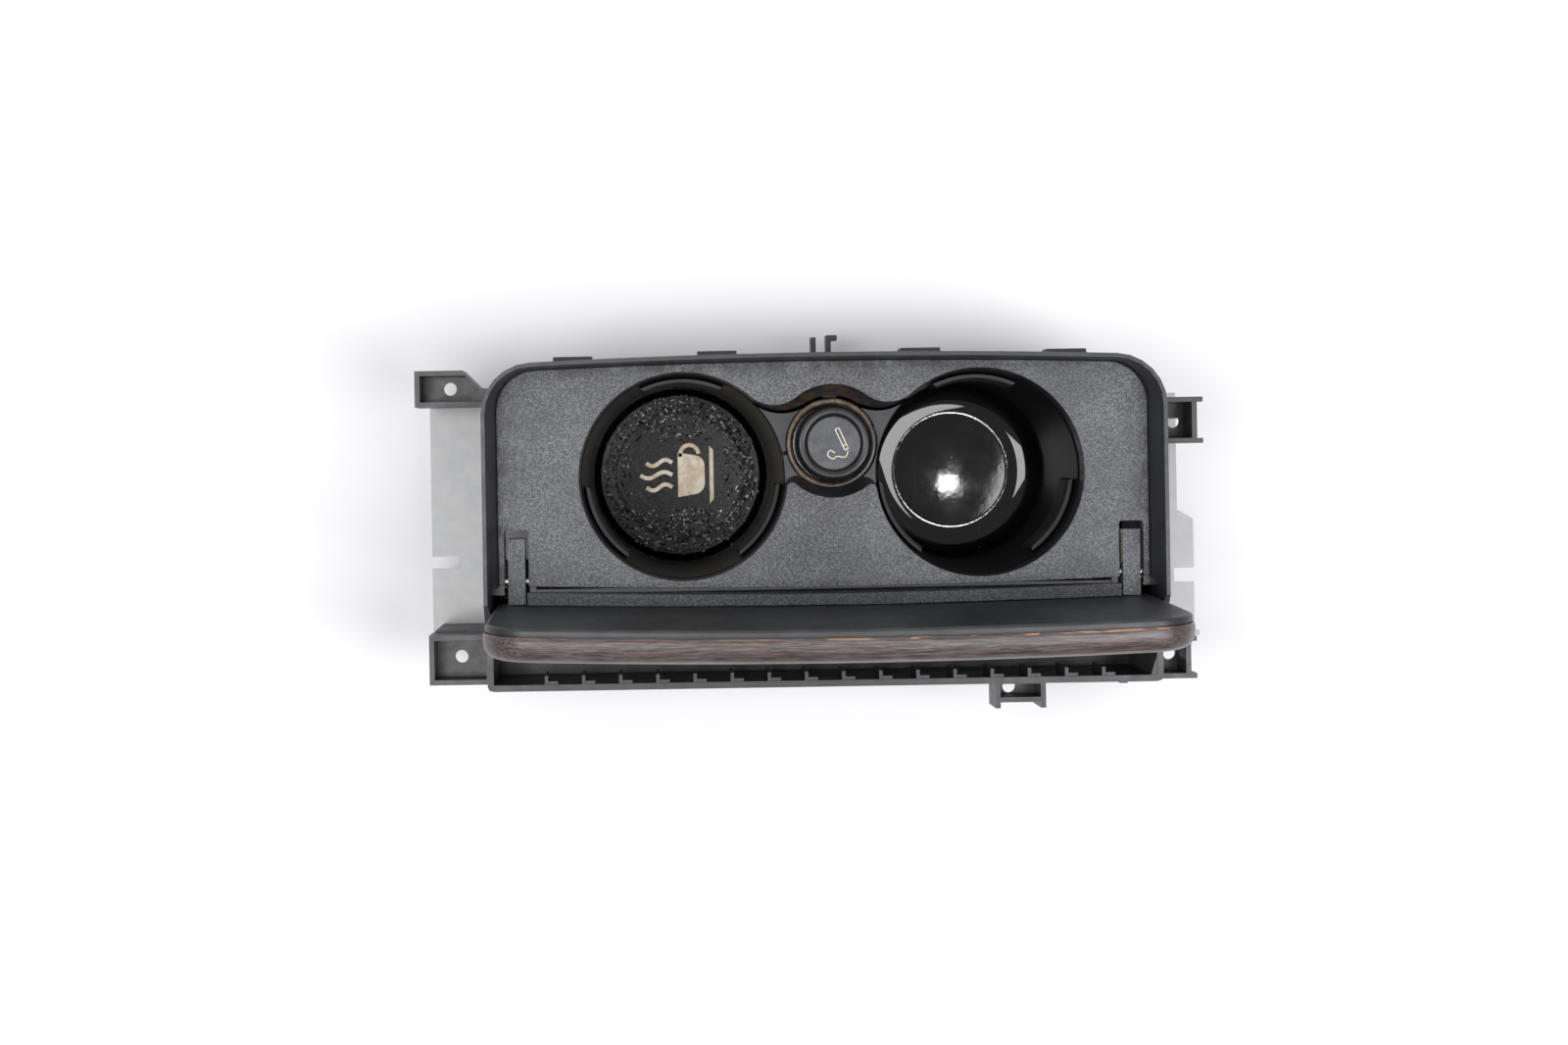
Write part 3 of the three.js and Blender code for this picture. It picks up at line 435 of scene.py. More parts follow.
def soft_touch_paint(name, dark, light, worn):
    """Soft-touch paint sprayed on ABS: a matte grey whose fine pebbled grain catches the light in specks."""
    look, tree, body, place = started(name, Specular_IOR_Level=0.5)
    speck = noise(tree, place, 0.6, 0.42, 0.6, 2.0)
    cloud = noise(tree, place, 26, 0.4, 0.68, 5.0)
    paint = blended(tree, speck, linear(dark), linear(light))
    paint = blended(tree, multiplied(tree, cloud, 0.4), paint, linear(worn))
    # a mottled darker band along the rear and the sides, where the deck meets the rim
    rear = placed((0, 36.0, 0))[1]
    behind = ramp(tree, along_axis(tree, place, 1), rear, rear + 0.008)
    sides = from_middle(tree, place, 0.117, 0.127)
    border = add(tree, "ShaderNodeMath", {0: sides, 1: behind}, operation="MAXIMUM").outputs[0]
    rim_band = multiplied(tree, border, noise(tree, place, 6, 0.36, 0.62, 5.0))
    paint = blended(tree, multiplied(tree, rim_band, 0.75), paint, linear("2b2623"))
    # hand grime: dark round the lighter and in front of it, with grit in it
    grit = noise(tree, place, 1.1, 0.44, 0.6, 5.0)
    front = near_point(tree, place, (-8, -30, 0), 4, 34)
    grime = multiplied(tree, front, grit)
    paint = blended(tree, multiplied(tree, grime, 0.62), paint, linear("2c2a29"))
    around = near_point(tree, place, (LIGHTER[0], LIGHTER[1], -6), 20, 38)
    paint = blended(tree, multiplied(tree, around, multiplied(tree, grit, 0.5)), paint, linear("3a3029"))
    tree.links.new(paint, body.inputs["Base Color"])
    tree.links.new(noise(tree, place, 9, 0.3, 0.7, to=(0.5, 0.68)), body.inputs["Roughness"])
    bumped(tree, body, noise(tree, place, 0.6, 0.35, 0.65, 2.0), 0.14, 0.8)
    return look


def moulded_black():
    """Black ABS straight from the mould: satin on the tub; glossy on the low flanges, whose near-white colour
    is painted glare.
    """
    look, tree, body, place = started("satin moulded ABS, painted glare on flanges")
    low = ramp(tree, along_axis(tree, place, 2), FLANGE_TOP, FLANGE_TOP + 0.003, (1.0, 0.0))
    flange = multiplied(tree, low, from_middle(tree, place, WALL_OUTSIDE, WALL_OUTSIDE + 0.001))
    dust = noise(tree, place, 14, 0.35, 0.75, 5.0)
    plain = blended(tree, multiplied(tree, dust, 0.5), linear("2b2c2f"), linear("3b3c3f"))
    # painted glare: the low flanges get a near-white colour in place of the black plastic's, faintly mottled
    # by the dust noise
    painted_glare = blended(tree, dust, linear("eeeff1"), linear("fafafb"))
    tree.links.new(blended(tree, flange, plain, painted_glare), body.inputs["Base Color"])
    satin = noise(tree, place, 5, 0.3, 0.7, to=(0.34, 0.46))
    tree.links.new(faded(tree, flange, satin, 0.24), body.inputs["Roughness"])
    tree.links.new(flange, body.inputs["Coat Weight"])
    body.inputs["Coat Roughness"].default_value = 0.2
    bumped(tree, body, noise(tree, place, 0.6, 0.3, 0.7, 2.0), 0.03, 0.35)
    return look


def gloss_black():
    """Black ABS, polished on the wells' floors and finely etched on their walls, smeared and dusty."""
    look, tree, body, place = started("polished moulded ABS")
    specks = add(tree, "ShaderNodeTexVoronoi", {"Vector": place, "Scale": per(4.5)})
    dots = ramp(tree, specks.outputs["Distance"], 0.05, 0.09, (1.0, 0.0))
    dust = multiplied(tree, dots, noise(tree, place, 11, 0.52, 0.62, 4.0))
    film = noise(tree, place, 20, 0.35, 0.75, 5.0)
    base = blended(tree, multiplied(tree, film, 0.4), linear("0a0b0c"), linear("151618"))
    paint = blended(tree, multiplied(tree, dust, 0.7), base, linear("8d8b86"))
    tree.links.new(paint, body.inputs["Base Color"])
    etched = ramp(tree, along_axis(tree, place, 2), BOWL_TOP, BOWL_TOP + 0.018)
    polish = noise(tree, place, 7, 0.3, 0.75, 6.0, to=(0.02, 0.06))
    tree.links.new(faded(tree, etched, polish, 0.42), body.inputs["Roughness"])
    bumped(tree, body, noise(tree, place, 3, 0.3, 0.7, 4.0), 0.01, 0.2)
    return look


def satin_black(name, dark, light, rough, grain=0.5):
    """Dyed black plastic with a fine spark-eroded grain and a little greyed wear."""
    look, tree, body, place = started(name)
    wear = noise(tree, place, 8, 0.35, 0.75, 5.0)
    tree.links.new(blended(tree, wear, linear(dark), linear(light)), body.inputs["Base Color"])
    tree.links.new(noise(tree, place, 4, 0.3, 0.7, to=(rough - 0.06, rough + 0.06)), body.inputs["Roughness"])
    bumped(tree, body, noise(tree, place, grain, 0.3, 0.7, 2.0), 0.04, 0.45)
    return look


def mat_rubber():
    """Black EPDM rubber pressed in a hammered tool: semi-matte, so its ridges glint along their crests."""
    look, tree, body, place = started("pressed EPDM rubber", Coat_Weight=0.15, Coat_Roughness=0.2)
    cloud = noise(tree, place, 6, 0.35, 0.7, 5.0)
    tree.links.new(blended(tree, cloud, linear("040405"), linear("0b0c0d")), body.inputs["Base Color"])
    tree.links.new(noise(tree, place, 1.6, 0.35, 0.7, 4.0, to=(0.22, 0.42)), body.inputs["Roughness"])
    bumped(tree, body, noise(tree, place, 0.9, 0.35, 0.68, 3.0), 0.3, 0.8)
    return look


def polished_crests():
    """The mat's raised strokes: the same rubber, rubbed glossy by cups, with near-white painted glints on a
    few.
    """
    look, tree, body, place = started(
        "rubbed EPDM rubber with painted glints", Coat_Weight=1.0, Coat_Roughness=0.1, Roughness=0.25
    )
    # painted glints: a few crests, in patches, are coloured near-white
    rubbed = noise(tree, place, 1.3, 0.53, 0.58, 2.0)
    glint_zone = noise(tree, place, 14, 0.4, 0.62, 3.0, to=(0.25, 1.0))
    paint = blended(tree, multiplied(tree, rubbed, glint_zone), linear("08090a"), linear("d6d8dc"))
    tree.links.new(paint, body.inputs["Base Color"])
    bumped(tree, body, noise(tree, place, 0.8, 0.3, 0.7), 0.05, 0.5)
    return look


def cream_inlay():
    """Cream TPE inlay set flush in the rubber, with grime gathered in its corners."""
    look, tree, body, place = started("cream TPE inlay", Roughness=0.55)
    grime = noise(tree, place, 4, 0.42, 0.75, 5.0)
    paint = blended(tree, grime, linear("f6ecd9"), linear("c9ab7f"))
    tree.links.new(paint, body.inputs["Base Color"])
    bumped(tree, body, noise(tree, place, 0.8, 0.3, 0.7), 0.03, 0.4)
    return look


def knob_face_paint():
    """Silver-grey paint on a sunk disc, rubbed through to dark specks."""
    look, tree, body, place = started("rubbed silver-grey paint")
    specks = noise(tree, place, 0.55, 0.5, 0.68, 4.0)
    cloud = noise(tree, place, 5, 0.35, 0.7, 4.0)
    paint = blended(tree, cloud, linear("58595d"), linear("404145"))
    paint = blended(tree, multiplied(tree, specks, 0.75), paint, linear("2e2f32"))
    tree.links.new(paint, body.inputs["Base Color"])
    tree.links.new(noise(tree, place, 2, 0.3, 0.7, to=(0.42, 0.6)), body.inputs["Roughness"])
    bumped(tree, body, noise(tree, place, 0.6, 0.3, 0.7), 0.05, 0.5)
    return look


def light_guide():
    """Smoky polycarbonate light guide, browned by heat and spilt drinks."""
    look, tree, body, place = started("browned polycarbonate", IOR=1.58, Coat_Weight=0.3, Coat_Roughness=0.15)
    stain = noise(tree, place, 5, 0.35, 0.68, 5.0)
    tar = noise(tree, place, 2.2, 0.5, 0.66, 5.0)
    paint = blended(tree, stain, linear("7d6c5b"), linear("4e3c2c"))
    paint = blended(tree, multiplied(tree, tar, 0.8), paint, linear("2f231a"))
    # the ring is darkened towards its front right, almost to black
    front_right_dark = near_point(tree, place, (LIGHTER[0] + 12, LIGHTER[1] - 12, -7), 8, 30)
    paint = blended(tree, multiplied(tree, front_right_dark, 0.9), paint, linear("1b1714"))
    tree.links.new(paint, body.inputs["Base Color"])
    tree.links.new(noise(tree, place, 2, 0.3, 0.7, to=(0.25, 0.5)), body.inputs["Roughness"])
    bumped(tree, body, noise(tree, place, 1.5, 0.3, 0.7, 4.0), 0.05, 0.5)
    return look


def stained_wall():
    """The recess wall: black satin ABS with brown streaks of dried coffee near the lighter."""
    look, tree, body, place = started("stained satin ABS")
    cloud = noise(tree, place, 9, 0.35, 0.7, 5.0)
    base = blended(tree, cloud, linear("1e1f21"), linear("303134"))
    near = near_point(tree, place, (LIGHTER[0] - 7, LIGHTER[1] + 7, -4), 14, 27)
    streak = noise(tree, place, 3, 0.44, 0.6, 5.0)
    paint = blended(tree, multiplied(tree, near, multiplied(tree, streak, 0.85)), base, linear("4a3626"))
    tree.links.new(paint, body.inputs["Base Color"])
    tree.links.new(noise(tree, place, 4, 0.3, 0.7, 5.0, to=(0.22, 0.46)), body.inputs["Roughness"])
    bumped(tree, body, noise(tree, place, 1.2, 0.3, 0.7, 4.0), 0.04, 0.5)
    return look


def walnut_veneer():
    """Dark veneer under worn matte lacquer: fine grain along the lid, rubbed pale and ruddy at its edges."""
    look, tree, body, place = started("lacquered walnut veneer", Coat_Weight=0.35, Coat_Roughness=0.32)
    along = add(tree, "ShaderNodeMapping", {"Vector": place, "Scale": (0.06, 1.0, 1.0)}).outputs[0]
    wide = add(tree, "ShaderNodeMapping", {"Vector": place, "Scale": (0.16, 1.0, 1.0)}).outputs[0]
    grain = noise(tree, along, 0.7, 0.4, 0.62, 6.0, rough=0.65)
    pores = noise(tree, along, 0.5, 0.52, 0.6, 4.0)
    figure = noise(tree, wide, 9, 0.34, 0.7, 4.0)
    wood = blended(tree, grain, linear("352c2b"), linear("665b59"))
    wood = blended(tree, multiplied(tree, figure, 0.4), wood, linear("4d2d29"))
    wood = blended(tree, multiplied(tree, pores, 0.7), wood, linear("120d0c"))
    # the lacquer's edge by the seam is chipped to bare pale wood
    height = add(tree, "ShaderNodeAttribute", attribute_name="seam_height").outputs["Fac"]
    chips = multiplied(tree, ramp(tree, height, 0.3, 0.8, (1.0, 0.0)), noise(tree, wide, 3, 0.5, 0.56, 6.0))
    handled = ramp(tree, along_axis(tree, place, 0), -0.05, 0.03, (0.15, 1.0))
    chips = multiplied(tree, chips, handled)
    wood = blended(tree, multiplied(tree, chips, 0.9), wood, linear("b98b64"))
    rubbed = multiplied(tree, ramp(tree, height, 7.6, 9.6), noise(tree, wide, 8, 0.45, 0.6, 5.0))
    wood = blended(tree, multiplied(tree, rubbed, 0.35), wood, linear("8a7a72"))
    tree.links.new(wood, body.inputs["Base Color"])
    tree.links.new(noise(tree, wide, 6, 0.3, 0.7, 5.0, to=(0.34, 0.55)), body.inputs["Roughness"])
    bumped(tree, body, grain, 0.05, 0.5)
    return look


def plain_metal(name, dark, light, rough, streak=(1, 1, 1)):
    """Bare or plated metal with faint drawing marks and a little tarnish."""
    look, tree, body, place = started(name, Metallic=1.0)
    stretched = add(tree, "ShaderNodeMapping", {"Vector": place, "Scale": streak}).outputs[0]
    cloud = noise(tree, stretched, 1.5, 0.3, 0.7, 4.0)
    tree.links.new(blended(tree, cloud, linear(dark), linear(light)), body.inputs["Base Color"])
    dull = noise(tree, stretched, 0.8, 0.3, 0.7, to=(rough - 0.07, rough + 0.1))
    tree.links.new(dull, body.inputs["Roughness"])
    bumped(tree, body, cloud, 0.01, 0.3)
    return look


GREY = soft_touch_paint("soft-touch paint on moulded ABS", "4a4c50", "7b7d82", "424347")
STRIP = soft_touch_paint("darker soft-touch paint on moulded ABS", "303235", "5d5f64", "313236")
TUB = moulded_black()
GLOSS = gloss_black()
WALL = stained_wall()
SHELL = satin_black("grained moulded ABS", "242528", "36373a", 0.42, 0.7)
KNOB = satin_black("satin phenolic", "0e0f10", "1a1b1d", 0.34)
DARK = satin_black("glass-filled nylon, black", "1b1c1d", "2c2d2f", 0.5)
RUBBER = satin_black("soft TPE rubber", "191a1b", "27282a", 0.58, 0.9)
PALE = satin_black("natural nylon", "c9c2b0", "ddd8c8", 0.45)
STONE = satin_black("moulded phenolic", "b8ad98", "d3cabb", 0.6)
MAT = mat_rubber()
CRESTS = polished_crests()
CREAM = cream_inlay()
FACE = knob_face_paint()
GUIDE = light_guide()
VENEER = walnut_veneer()
STEEL = plain_metal("nickel-plated steel", "8f9296", "b9bcc0", 0.3, (1, 1, 0.15))
BRASS = plain_metal("turned brass", "97743a", "bf9a55", 0.32)
ELEMENT = plain_metal("heat-browned nichrome", "6b5d54", "96877a", 0.45)

# ---------------------------------------------------------------- housing and deck
refined("housing", TUB, "base", 0.45, 2, 32)


def deck_outline():
    """The deck seen from above: round rear corners, bowed edges, and two slots open to the front."""
    x, near, far = panel_stations(
        DECK_HALF, DECK_REAR, DECK_FRONT, DECK_BULGE, DECK_SAG, 15.0, 1.0
    )
    slots = []
    for side in (-1, 1):
        centre = MIDDLE_X + side * ARM_OFFSET
        edge = np.interp([centre - SLOT_HALF, centre + SLOT_HALF], x, near)
        top = DECK_FRONT + SLOT_DEPTH
        notch = rounded(
            [(centre - SLOT_HALF, edge[0]), (centre - SLOT_HALF, top), (centre + SLOT_HALF, top),
             (centre + SLOT_HALF, edge[1])],
            [0.4, 1.2, 1.2, 0.4], closed=False,
        )
        slots.append((centre, notch))
    (left, left_notch), (right, right_notch) = slots
    front = np.stack([x, near], -1)
    clear = SLOT_HALF + 0.2
    return np.concatenate([
        front[x < left - clear],
        left_notch,
        front[(x > left + clear) & (x < right - clear)],
        right_notch,
        front[x > right + clear],
        np.stack([x, far], -1)[::-1],
    ])


def cut_sheet(name, outlines, low, high, soft, look, nodes):
    """A flat sheet with holes and softened edges: closed outlines filled as a curve, turned into a mesh."""
    curve = bpy.data.curves.new(name, "CURVE")
    curve.dimensions = "2D"
    curve.fill_mode = "BOTH"
    curve.extrude = ((high - low) / 2 - soft) * MM
    curve.bevel_depth = soft * MM
    curve.bevel_resolution = 2
    curve.offset = -soft * MM
    for outline in outlines:
        flat = placed(at_height(outline, 0.0))[:, :2]
        line = curve.splines.new("POLY")
        line.points.add(len(outline) - 1)
        line.points.foreach_set("co", np.c_[flat, np.zeros(len(flat)), np.ones(len(flat))].ravel())
        line.use_cyclic_u = True
    holder = bpy.data.objects.new(name + "_curve", curve)
    bpy.context.scene.collection.objects.link(holder)
    bpy.context.view_layer.update()
    mesh = bpy.data.meshes.new_from_object(holder.evaluated_get(bpy.context.evaluated_depsgraph_get()))
    bpy.data.objects.remove(holder)
    mesh.name = name
    height = placed([0, 0, (low + high) / 2])[2]
    points = np.empty(len(mesh.vertices) * 3)
    mesh.vertices.foreach_get("co", points)
    points = points.reshape(-1, 3)
    points[:, 2] += height
    mesh.vertices.foreach_set("co", points.ravel())
    finish_mesh(mesh, math.radians(30))
    made = bpy.data.objects.new(name, mesh)
    bpy.context.scene.collection.objects.link(made)
    mesh.materials.clear()
    mesh.materials.append(look)
    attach(made, "base")
    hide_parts(*nodes)
    return made


cut_sheet("deck_plate", [deck_outline(), bone(0.0)], -3.0, 0.0, 0.45, GREY, ["deck"])


def recess_wall():
    """The recess's sloping wall: the outline carried round a thin section from the deck's edge to the web."""
    section = [(0.02, 0.0, -0.9), (0.25, 0.0, -2.6), (0.6, 0.0, -4.8), (0.9, 0.0, -6.4), (1.0, 0.0, -7.4),
               (1.0, 0.9, -9.0), (0.5, 1.4, -8.0), (0.1, 1.3, -3.2), (0.0, 0.9, -1.1)]
    rows = [at_height(bone(t, grow), z) for t, grow, z in section]
    return grid_shell(placed(np.stack(rows, 1)), True, True)


piece("recess_wall", recess_wall(), WALL, "base")


def webs():
    """Four small floors beside the lighter, each between a well, the lighter's circle and a fillet."""
    shells = []
    for x_side in (-1, 1):
        well = np.array([x_side * WELL_X, 0.0])
        ring = np.array(LIGHTER)
        for y_side, radius in ((1, 17.6), (-1, 5.0)):
            centre = fillet_centre(ring, 18.1, well, 40.0, radius, y_side * x_side)
            edge = short_arc(centre, radius + 0.5, ring, well, 14)
            along_well = short_arc(well, 40.0, centre, ring, 14)
            along_ring = short_arc(ring, 17.95, well, centre, 12)
            shells.append(slab(np.concatenate([edge, along_well, along_ring]), -8.6, -7.0, 0.1))
    return joined(shells)


piece("recess_webs", webs(), SHELL, "base")

# ---------------------------------------------------------------- wells, pads and mat


def liner(side):
    """A well: outer wall, rounded lip, tapering inner wall; a flat floor under the mat, a bowl without."""
    outside = rounded(
        [(0, BASE), (31, BASE), (33, BASE + 0.9), (36.4, BASE + 2.5), (40.3, -12), (40.4, -7.3)],
        [0, 0, 0.8, 1.5, 1, 0], closed=False,
    )
    lip = [(40.2, -7.05), (39.9, -7.0), (39.65, -7.3)]
    if side < 0:
        foot, setback = [(FOOT, WELL_FLOOR + 5), (34.4, WELL_FLOOR), (0, WELL_FLOOR)], [3, 2.2, 0]
    else:
        foot, setback = [(35.9, WELL_FLOOR + 12), (35.0, WELL_FLOOR), (0, WELL_FLOOR)], [3, 11.5, 0]
    inside = rounded([(39.4, -9.5)] + foot, [0] + setback, 17, closed=False)
    # a ring just inside the bowl's curve keeps the polished floor flat
    flat = [(inside[-2, 0] - 0.4, WELL_FLOOR), (inside[-2, 0] - 0.8, WELL_FLOOR)]
    profile = np.concatenate([outside, lip, inside[:-1], flat, inside[-1:]])
    return turned(profile, (side * WELL_X, 0), 144, closed=False)


for side, word in ((-1, "left"), (1, "right")):
    piece(f"well_{word}", liner(side), GLOSS, "base", [f"well_liner_{word}"])


def grip_pad(side, middle):
    """A slim pad on the well's wall: a rounded section swept through fifty degrees, thinning at its ends."""
    section = rounded([(36.2, -31), (36.0, -14), (36.7, -12.0), (38.4, -12.0), (38.0, -32), (36.8, -32)],
                      [1, 1, 0.7, 0.3, 0.3, 0.6], 4)
    turn = np.radians(middle + np.linspace(-25, 25, 41))
    share = np.abs(np.linspace(-1, 1, 41))
    thin = 1.0 - np.clip((share - 0.94) / 0.06, 0, 1) ** 2 * 0.75
    radius = 38.2 + (section[None, :, 0] - 38.2) * thin[:, None]
    x = side * WELL_X + radius * np.cos(turn)[:, None]
    y = radius * np.sin(turn)[:, None]
    z = np.broadcast_to(section[None, :, 1], x.shape)
    return grid_shell(placed(np.stack([x, y, z], -1)), False, True, True)


for side, word in ((-1, "left"), (1, "right")):
    for number, middle in enumerate((90, 210, 330), 1):
        name = f"grip_pad_{word}_{number}"
        piece(name + "_soft", grip_pad(side, middle), RUBBER, "base", [name])

MAT_LOW, MAT_TOP = WELL_FLOOR + 0.3, WELL_FLOOR + 2.8
MAT_X = -WELL_X


def mat_disc():
    """The mat: a disc with a rolled edge and two low rings, 31 and 25 millimetres in radius."""
    top = MAT_TOP - 0.35
    profile = [
        (0, MAT_LOW), (33.4, MAT_LOW), (34.0, MAT_LOW + 0.6), (34.0, top - 0.2), (33.7, top + 0.3),
        (33.2, top + 0.35), (32.6, top + 0.3), (32.0, top), (27.4, top), (26.9, top + 0.3),
        (26.5, top + 0.3), (26.0, top), (0, top),
    ]
    profile = rounded(profile, [0] + [0.25] * 11 + [0], 3, closed=False)
    return turned(profile, (MAT_X, 0), 128, closed=False)


def mat_dashes(seed=7):
    """Short raised strokes on circles about the mat's middle: little hipped roofs with sloping ridges."""
    rng = np.random.default_rng(seed)
    radii = np.concatenate([np.arange(4.5, 32.0, 1.05), np.repeat([26.7, 27.2, 32.6, 33.2], 2)])
    crowd = np.where(radii > 26, 1.0, 0.8)
    counts = (2 * np.pi * radii / np.where(radii > 32.4, 2.0, 2.6) * crowd).astype(int)
    ring = np.repeat(radii, counts)
    number = len(ring)
    turn = rng.uniform(0, 2 * np.pi, number)
    r = ring + rng.uniform(-0.4, 0.4, number)
    long, wide = rng.uniform(0.5, 1.5, number), rng.uniform(0.18, 0.42, number)
    rise, tip = rng.uniform(0.16, 0.5, number), rng.uniform(0.2, 1.0, number)
    slant = turn + np.pi / 2 + rng.uniform(-0.4, 0.4, number)
    x, y = r * np.cos(turn), r * np.sin(turn)
    open_field = (np.abs(x + 1.0) > 20) | (np.abs(y) > 14.5)
    x, y, slant, long, wide, rise, tip = (v[open_field] for v in (x, y, slant, long, wide, rise, tip))
    none = np.zeros(len(x))
    along = np.stack([-long, long, long, -long, -0.6 * long, 0.6 * long], -1)
    across = np.stack([-wide, -wide, wide, wide, none, none], -1)
    above = np.stack([none, none, none, none, rise * tip, rise], -1)
    c, s = np.cos(slant)[:, None], np.sin(slant)[:, None]
    points = np.stack([
        MAT_X + x[:, None] + along * c - across * s,
        y[:, None] + along * s + across * c,
        MAT_TOP - 0.36 + above,
    ], -1)
    roof = [[3, 2, 1, 0], [0, 1, 5, 4], [2, 3, 4, 5], [1, 2, 5], [3, 0, 4]]
    faces = [[6 * k + v for v in face] for k in range(len(x)) for face in roof]
    return placed(points.reshape(-1, 3)), faces


piece("well_mat_disc", mat_disc(), MAT, "mat", ["well_mat"])
piece("well_mat_strokes", mat_dashes(), CRESTS, "mat", sharp=math.radians(20))


def motif():
    """A plain steaming cup in cream: bowl, handle, saucer and three wisps, its top towards the left."""
    low, high = MAT_TOP - 0.5, MAT_TOP - 0.12
    bowl = rounded([(-9.5, 0), (-7.6, -11.5), (7.6, -11.5), (9.5, 0)], [0.5, 4.5, 4.5, 0.5], 8)
    angle = np.linspace(-1.45, 1.75, 24)
    handle = np.stack([8.4 + 4.2 * np.cos(angle), -5.0 + 3.9 * np.sin(angle)], -1)
    saucer = rounded([(-12.5, -13.4), (-10.5, -15.2), (10.5, -15.2), (12.5, -13.4)], [0.5, 0.8, 0.8, 0.5], 4)
    shells = [slab(bowl[::-1], low, high), stroke(handle, 1.7, low, high), slab(saucer, low, high)]
    rise = np.linspace(0, 1, 22)
    for offset, length in ((-5.2, 11.0), (0.0, 13.5), (5.2, 11.0)):
        wave = np.stack([offset + 1.3 * np.sin(rise * 2 * np.pi), 2.4 + rise * length], -1)
        shells.append(stroke(wave, 1.7, low, high))
    vertices, faces = joined(shells, np.asarray)
    turned_left = np.stack([MAT_X - 1.0 - vertices[:, 1], vertices[:, 0], vertices[:, 2]], -1)
    return placed(turned_left), faces


piece("well_mat_motif", motif(), CREAM, "mat")

# ---------------------------------------------------------------- lighter
knob_profile = rounded(
    [(11.4, -7.0), (14.3, -7.0), (14.75, -5.5), (14.75, 2.6), (13.6, 5.0), (11.6, 5.0), (10.7, 4.4),
     (10.55, 3.8), (0, 3.8), (0, -0.8), (11.4, -0.8)],
    [0.3, 0.5, 1.0, 1.9, 1.0, 0.9, 0.5, 0.2, 0, 0, 0.3], 6,
)
knob = turned(knob_profile, LIGHTER, 128)
piece("lighter_knob_body", knob, KNOB, "lighter_button", ["lighter_knob"])
face_profile = rounded(
    [(0, 4.05), (10.2, 4.05), (10.2, 4.7), (9.6, 4.85), (0, 4.75)], [0, 0.1, 0.3, 0.3, 0], 4, closed=False
)
disc = turned(face_profile, LIGHTER, 96, closed=False)
piece("lighter_knob_disc", disc, FACE, "lighter_button", ["lighter_knob_face"])


def smoke_sign():
    """A plain outline of a cigarette and its smoke, drawn in a thin raised cream line."""
    low, high = 4.6, 4.95
    tube = rounded([(-0.75, -4.4), (0.75, -4.4), (0.75, 4.4), (-0.75, 4.4)], 0.25, 3)
    tip = np.stack([np.linspace(-0.7, 0.7, 4), np.full(4, -2.6)], -1)
    curl = rounded(
        [(0.3, -5.2), (-1.6, -7.4), (-4.6, -5.0), (-6.2, -6.0), (-8.0, -3.2), (-5.8, -1.8), (-4.6, -3.8)],
        1.5, 8, closed=False,
    )
    lines = [stroke(tube, 0.36, low, high, True), stroke(tip, 0.34, low, high), stroke(curl, 0.38, low, high)]
    vertices, faces = joined(lines, np.asarray)
    lean = math.radians(24)
    c, s = math.cos(lean), math.sin(lean)
    x = LIGHTER[0] + 3.0 + vertices[:, 0] * c - vertices[:, 1] * s
    y = LIGHTER[1] + 1.6 + vertices[:, 0] * s + vertices[:, 1] * c
    return placed(np.stack([x, y, vertices[:, 2]], -1)), faces


piece("lighter_sign", smoke_sign(), CREAM, "lighter_button")
RINGS = [
    ("light_guide_ring", "light_ring", GUIDE, "clear_amber", 128,
     [(15.3, -20.8), (16.2, -20.8), (16.2, -8.9), (17.6, -8.9), (17.6, -7.3), (16.9, -6.7), (15.9, -6.8),
      (15.3, -7.6)],
     [0.2, 0.2, 0.2, 0.2, 0.3, 0.4, 0.4, 0.3]),
    ("socket_tube", "socket_shell", STEEL, "steel", 72,
     [(4, -58), (11.5, -58), (11.5, -15.2), (14.8, -15.2), (14.8, -14.2), (10.7, -14.2), (10.7, -56.5),
      (4, -56.5)],
     [0.1, 1.2, 0.5, 0.2, 0.2, 0.5, 0.8, 0.1]),
    ("plug_sleeve", "lighter_sleeve", STEEL, "steel", 72,
     [(9.5, -44), (10.4, -44), (10.4, -7.2), (9.6, -7.2), (9.6, -11), (2.2, -11), (2.2, -11.9), (9.5, -11.9)],
     [0.1, 0.3, 0.3, 0.2, 0.4, 0.1, 0.1, 0.4]),
]
for name, node, look, slot, segments, corners, setbacks in RINGS:
    piece(name, turned(rounded(corners, setbacks, 4), LIGHTER, segments), look, "base", [node])

# the coil stands on the socket's seat and, on the real lighter, shortens by the knob's 6 mm of travel; here
# it is a bevelled copy with a mesh of its own
spring = refined("lighter_spring", STEEL, "base", 0.05, 1, 60)
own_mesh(spring)


def coil_strip():
    """The heating strip: wound as a flat spiral, its radius growing evenly with its angle."""
    t = np.linspace(0, 1, 260)
    radius = 1.2 + 6.0 * t
    angle = 2 * np.pi * 6 * t
    path = np.stack([LIGHTER[0] + radius * np.cos(angle), LIGHTER[1] + radius * np.sin(angle)], -1)
    return joined([stroke(path, 0.35, -43.4, -41.3)])


piece("element_spiral", coil_strip(), ELEMENT, "lighter_button")
cup_profile = rounded(
    [(0, -41.2), (7.7, -41.2), (7.7, -44), (8.5, -44), (8.5, -38.5), (0, -38.5)],
    [0, 0.2, 0.1, 0.2, 0.6, 0], 4, closed=False,
)
cup = turned(cup_profile, LIGHTER, 64, closed=False)
piece("element_cup", cup, ELEMENT, "lighter_button", ["heating_element"])

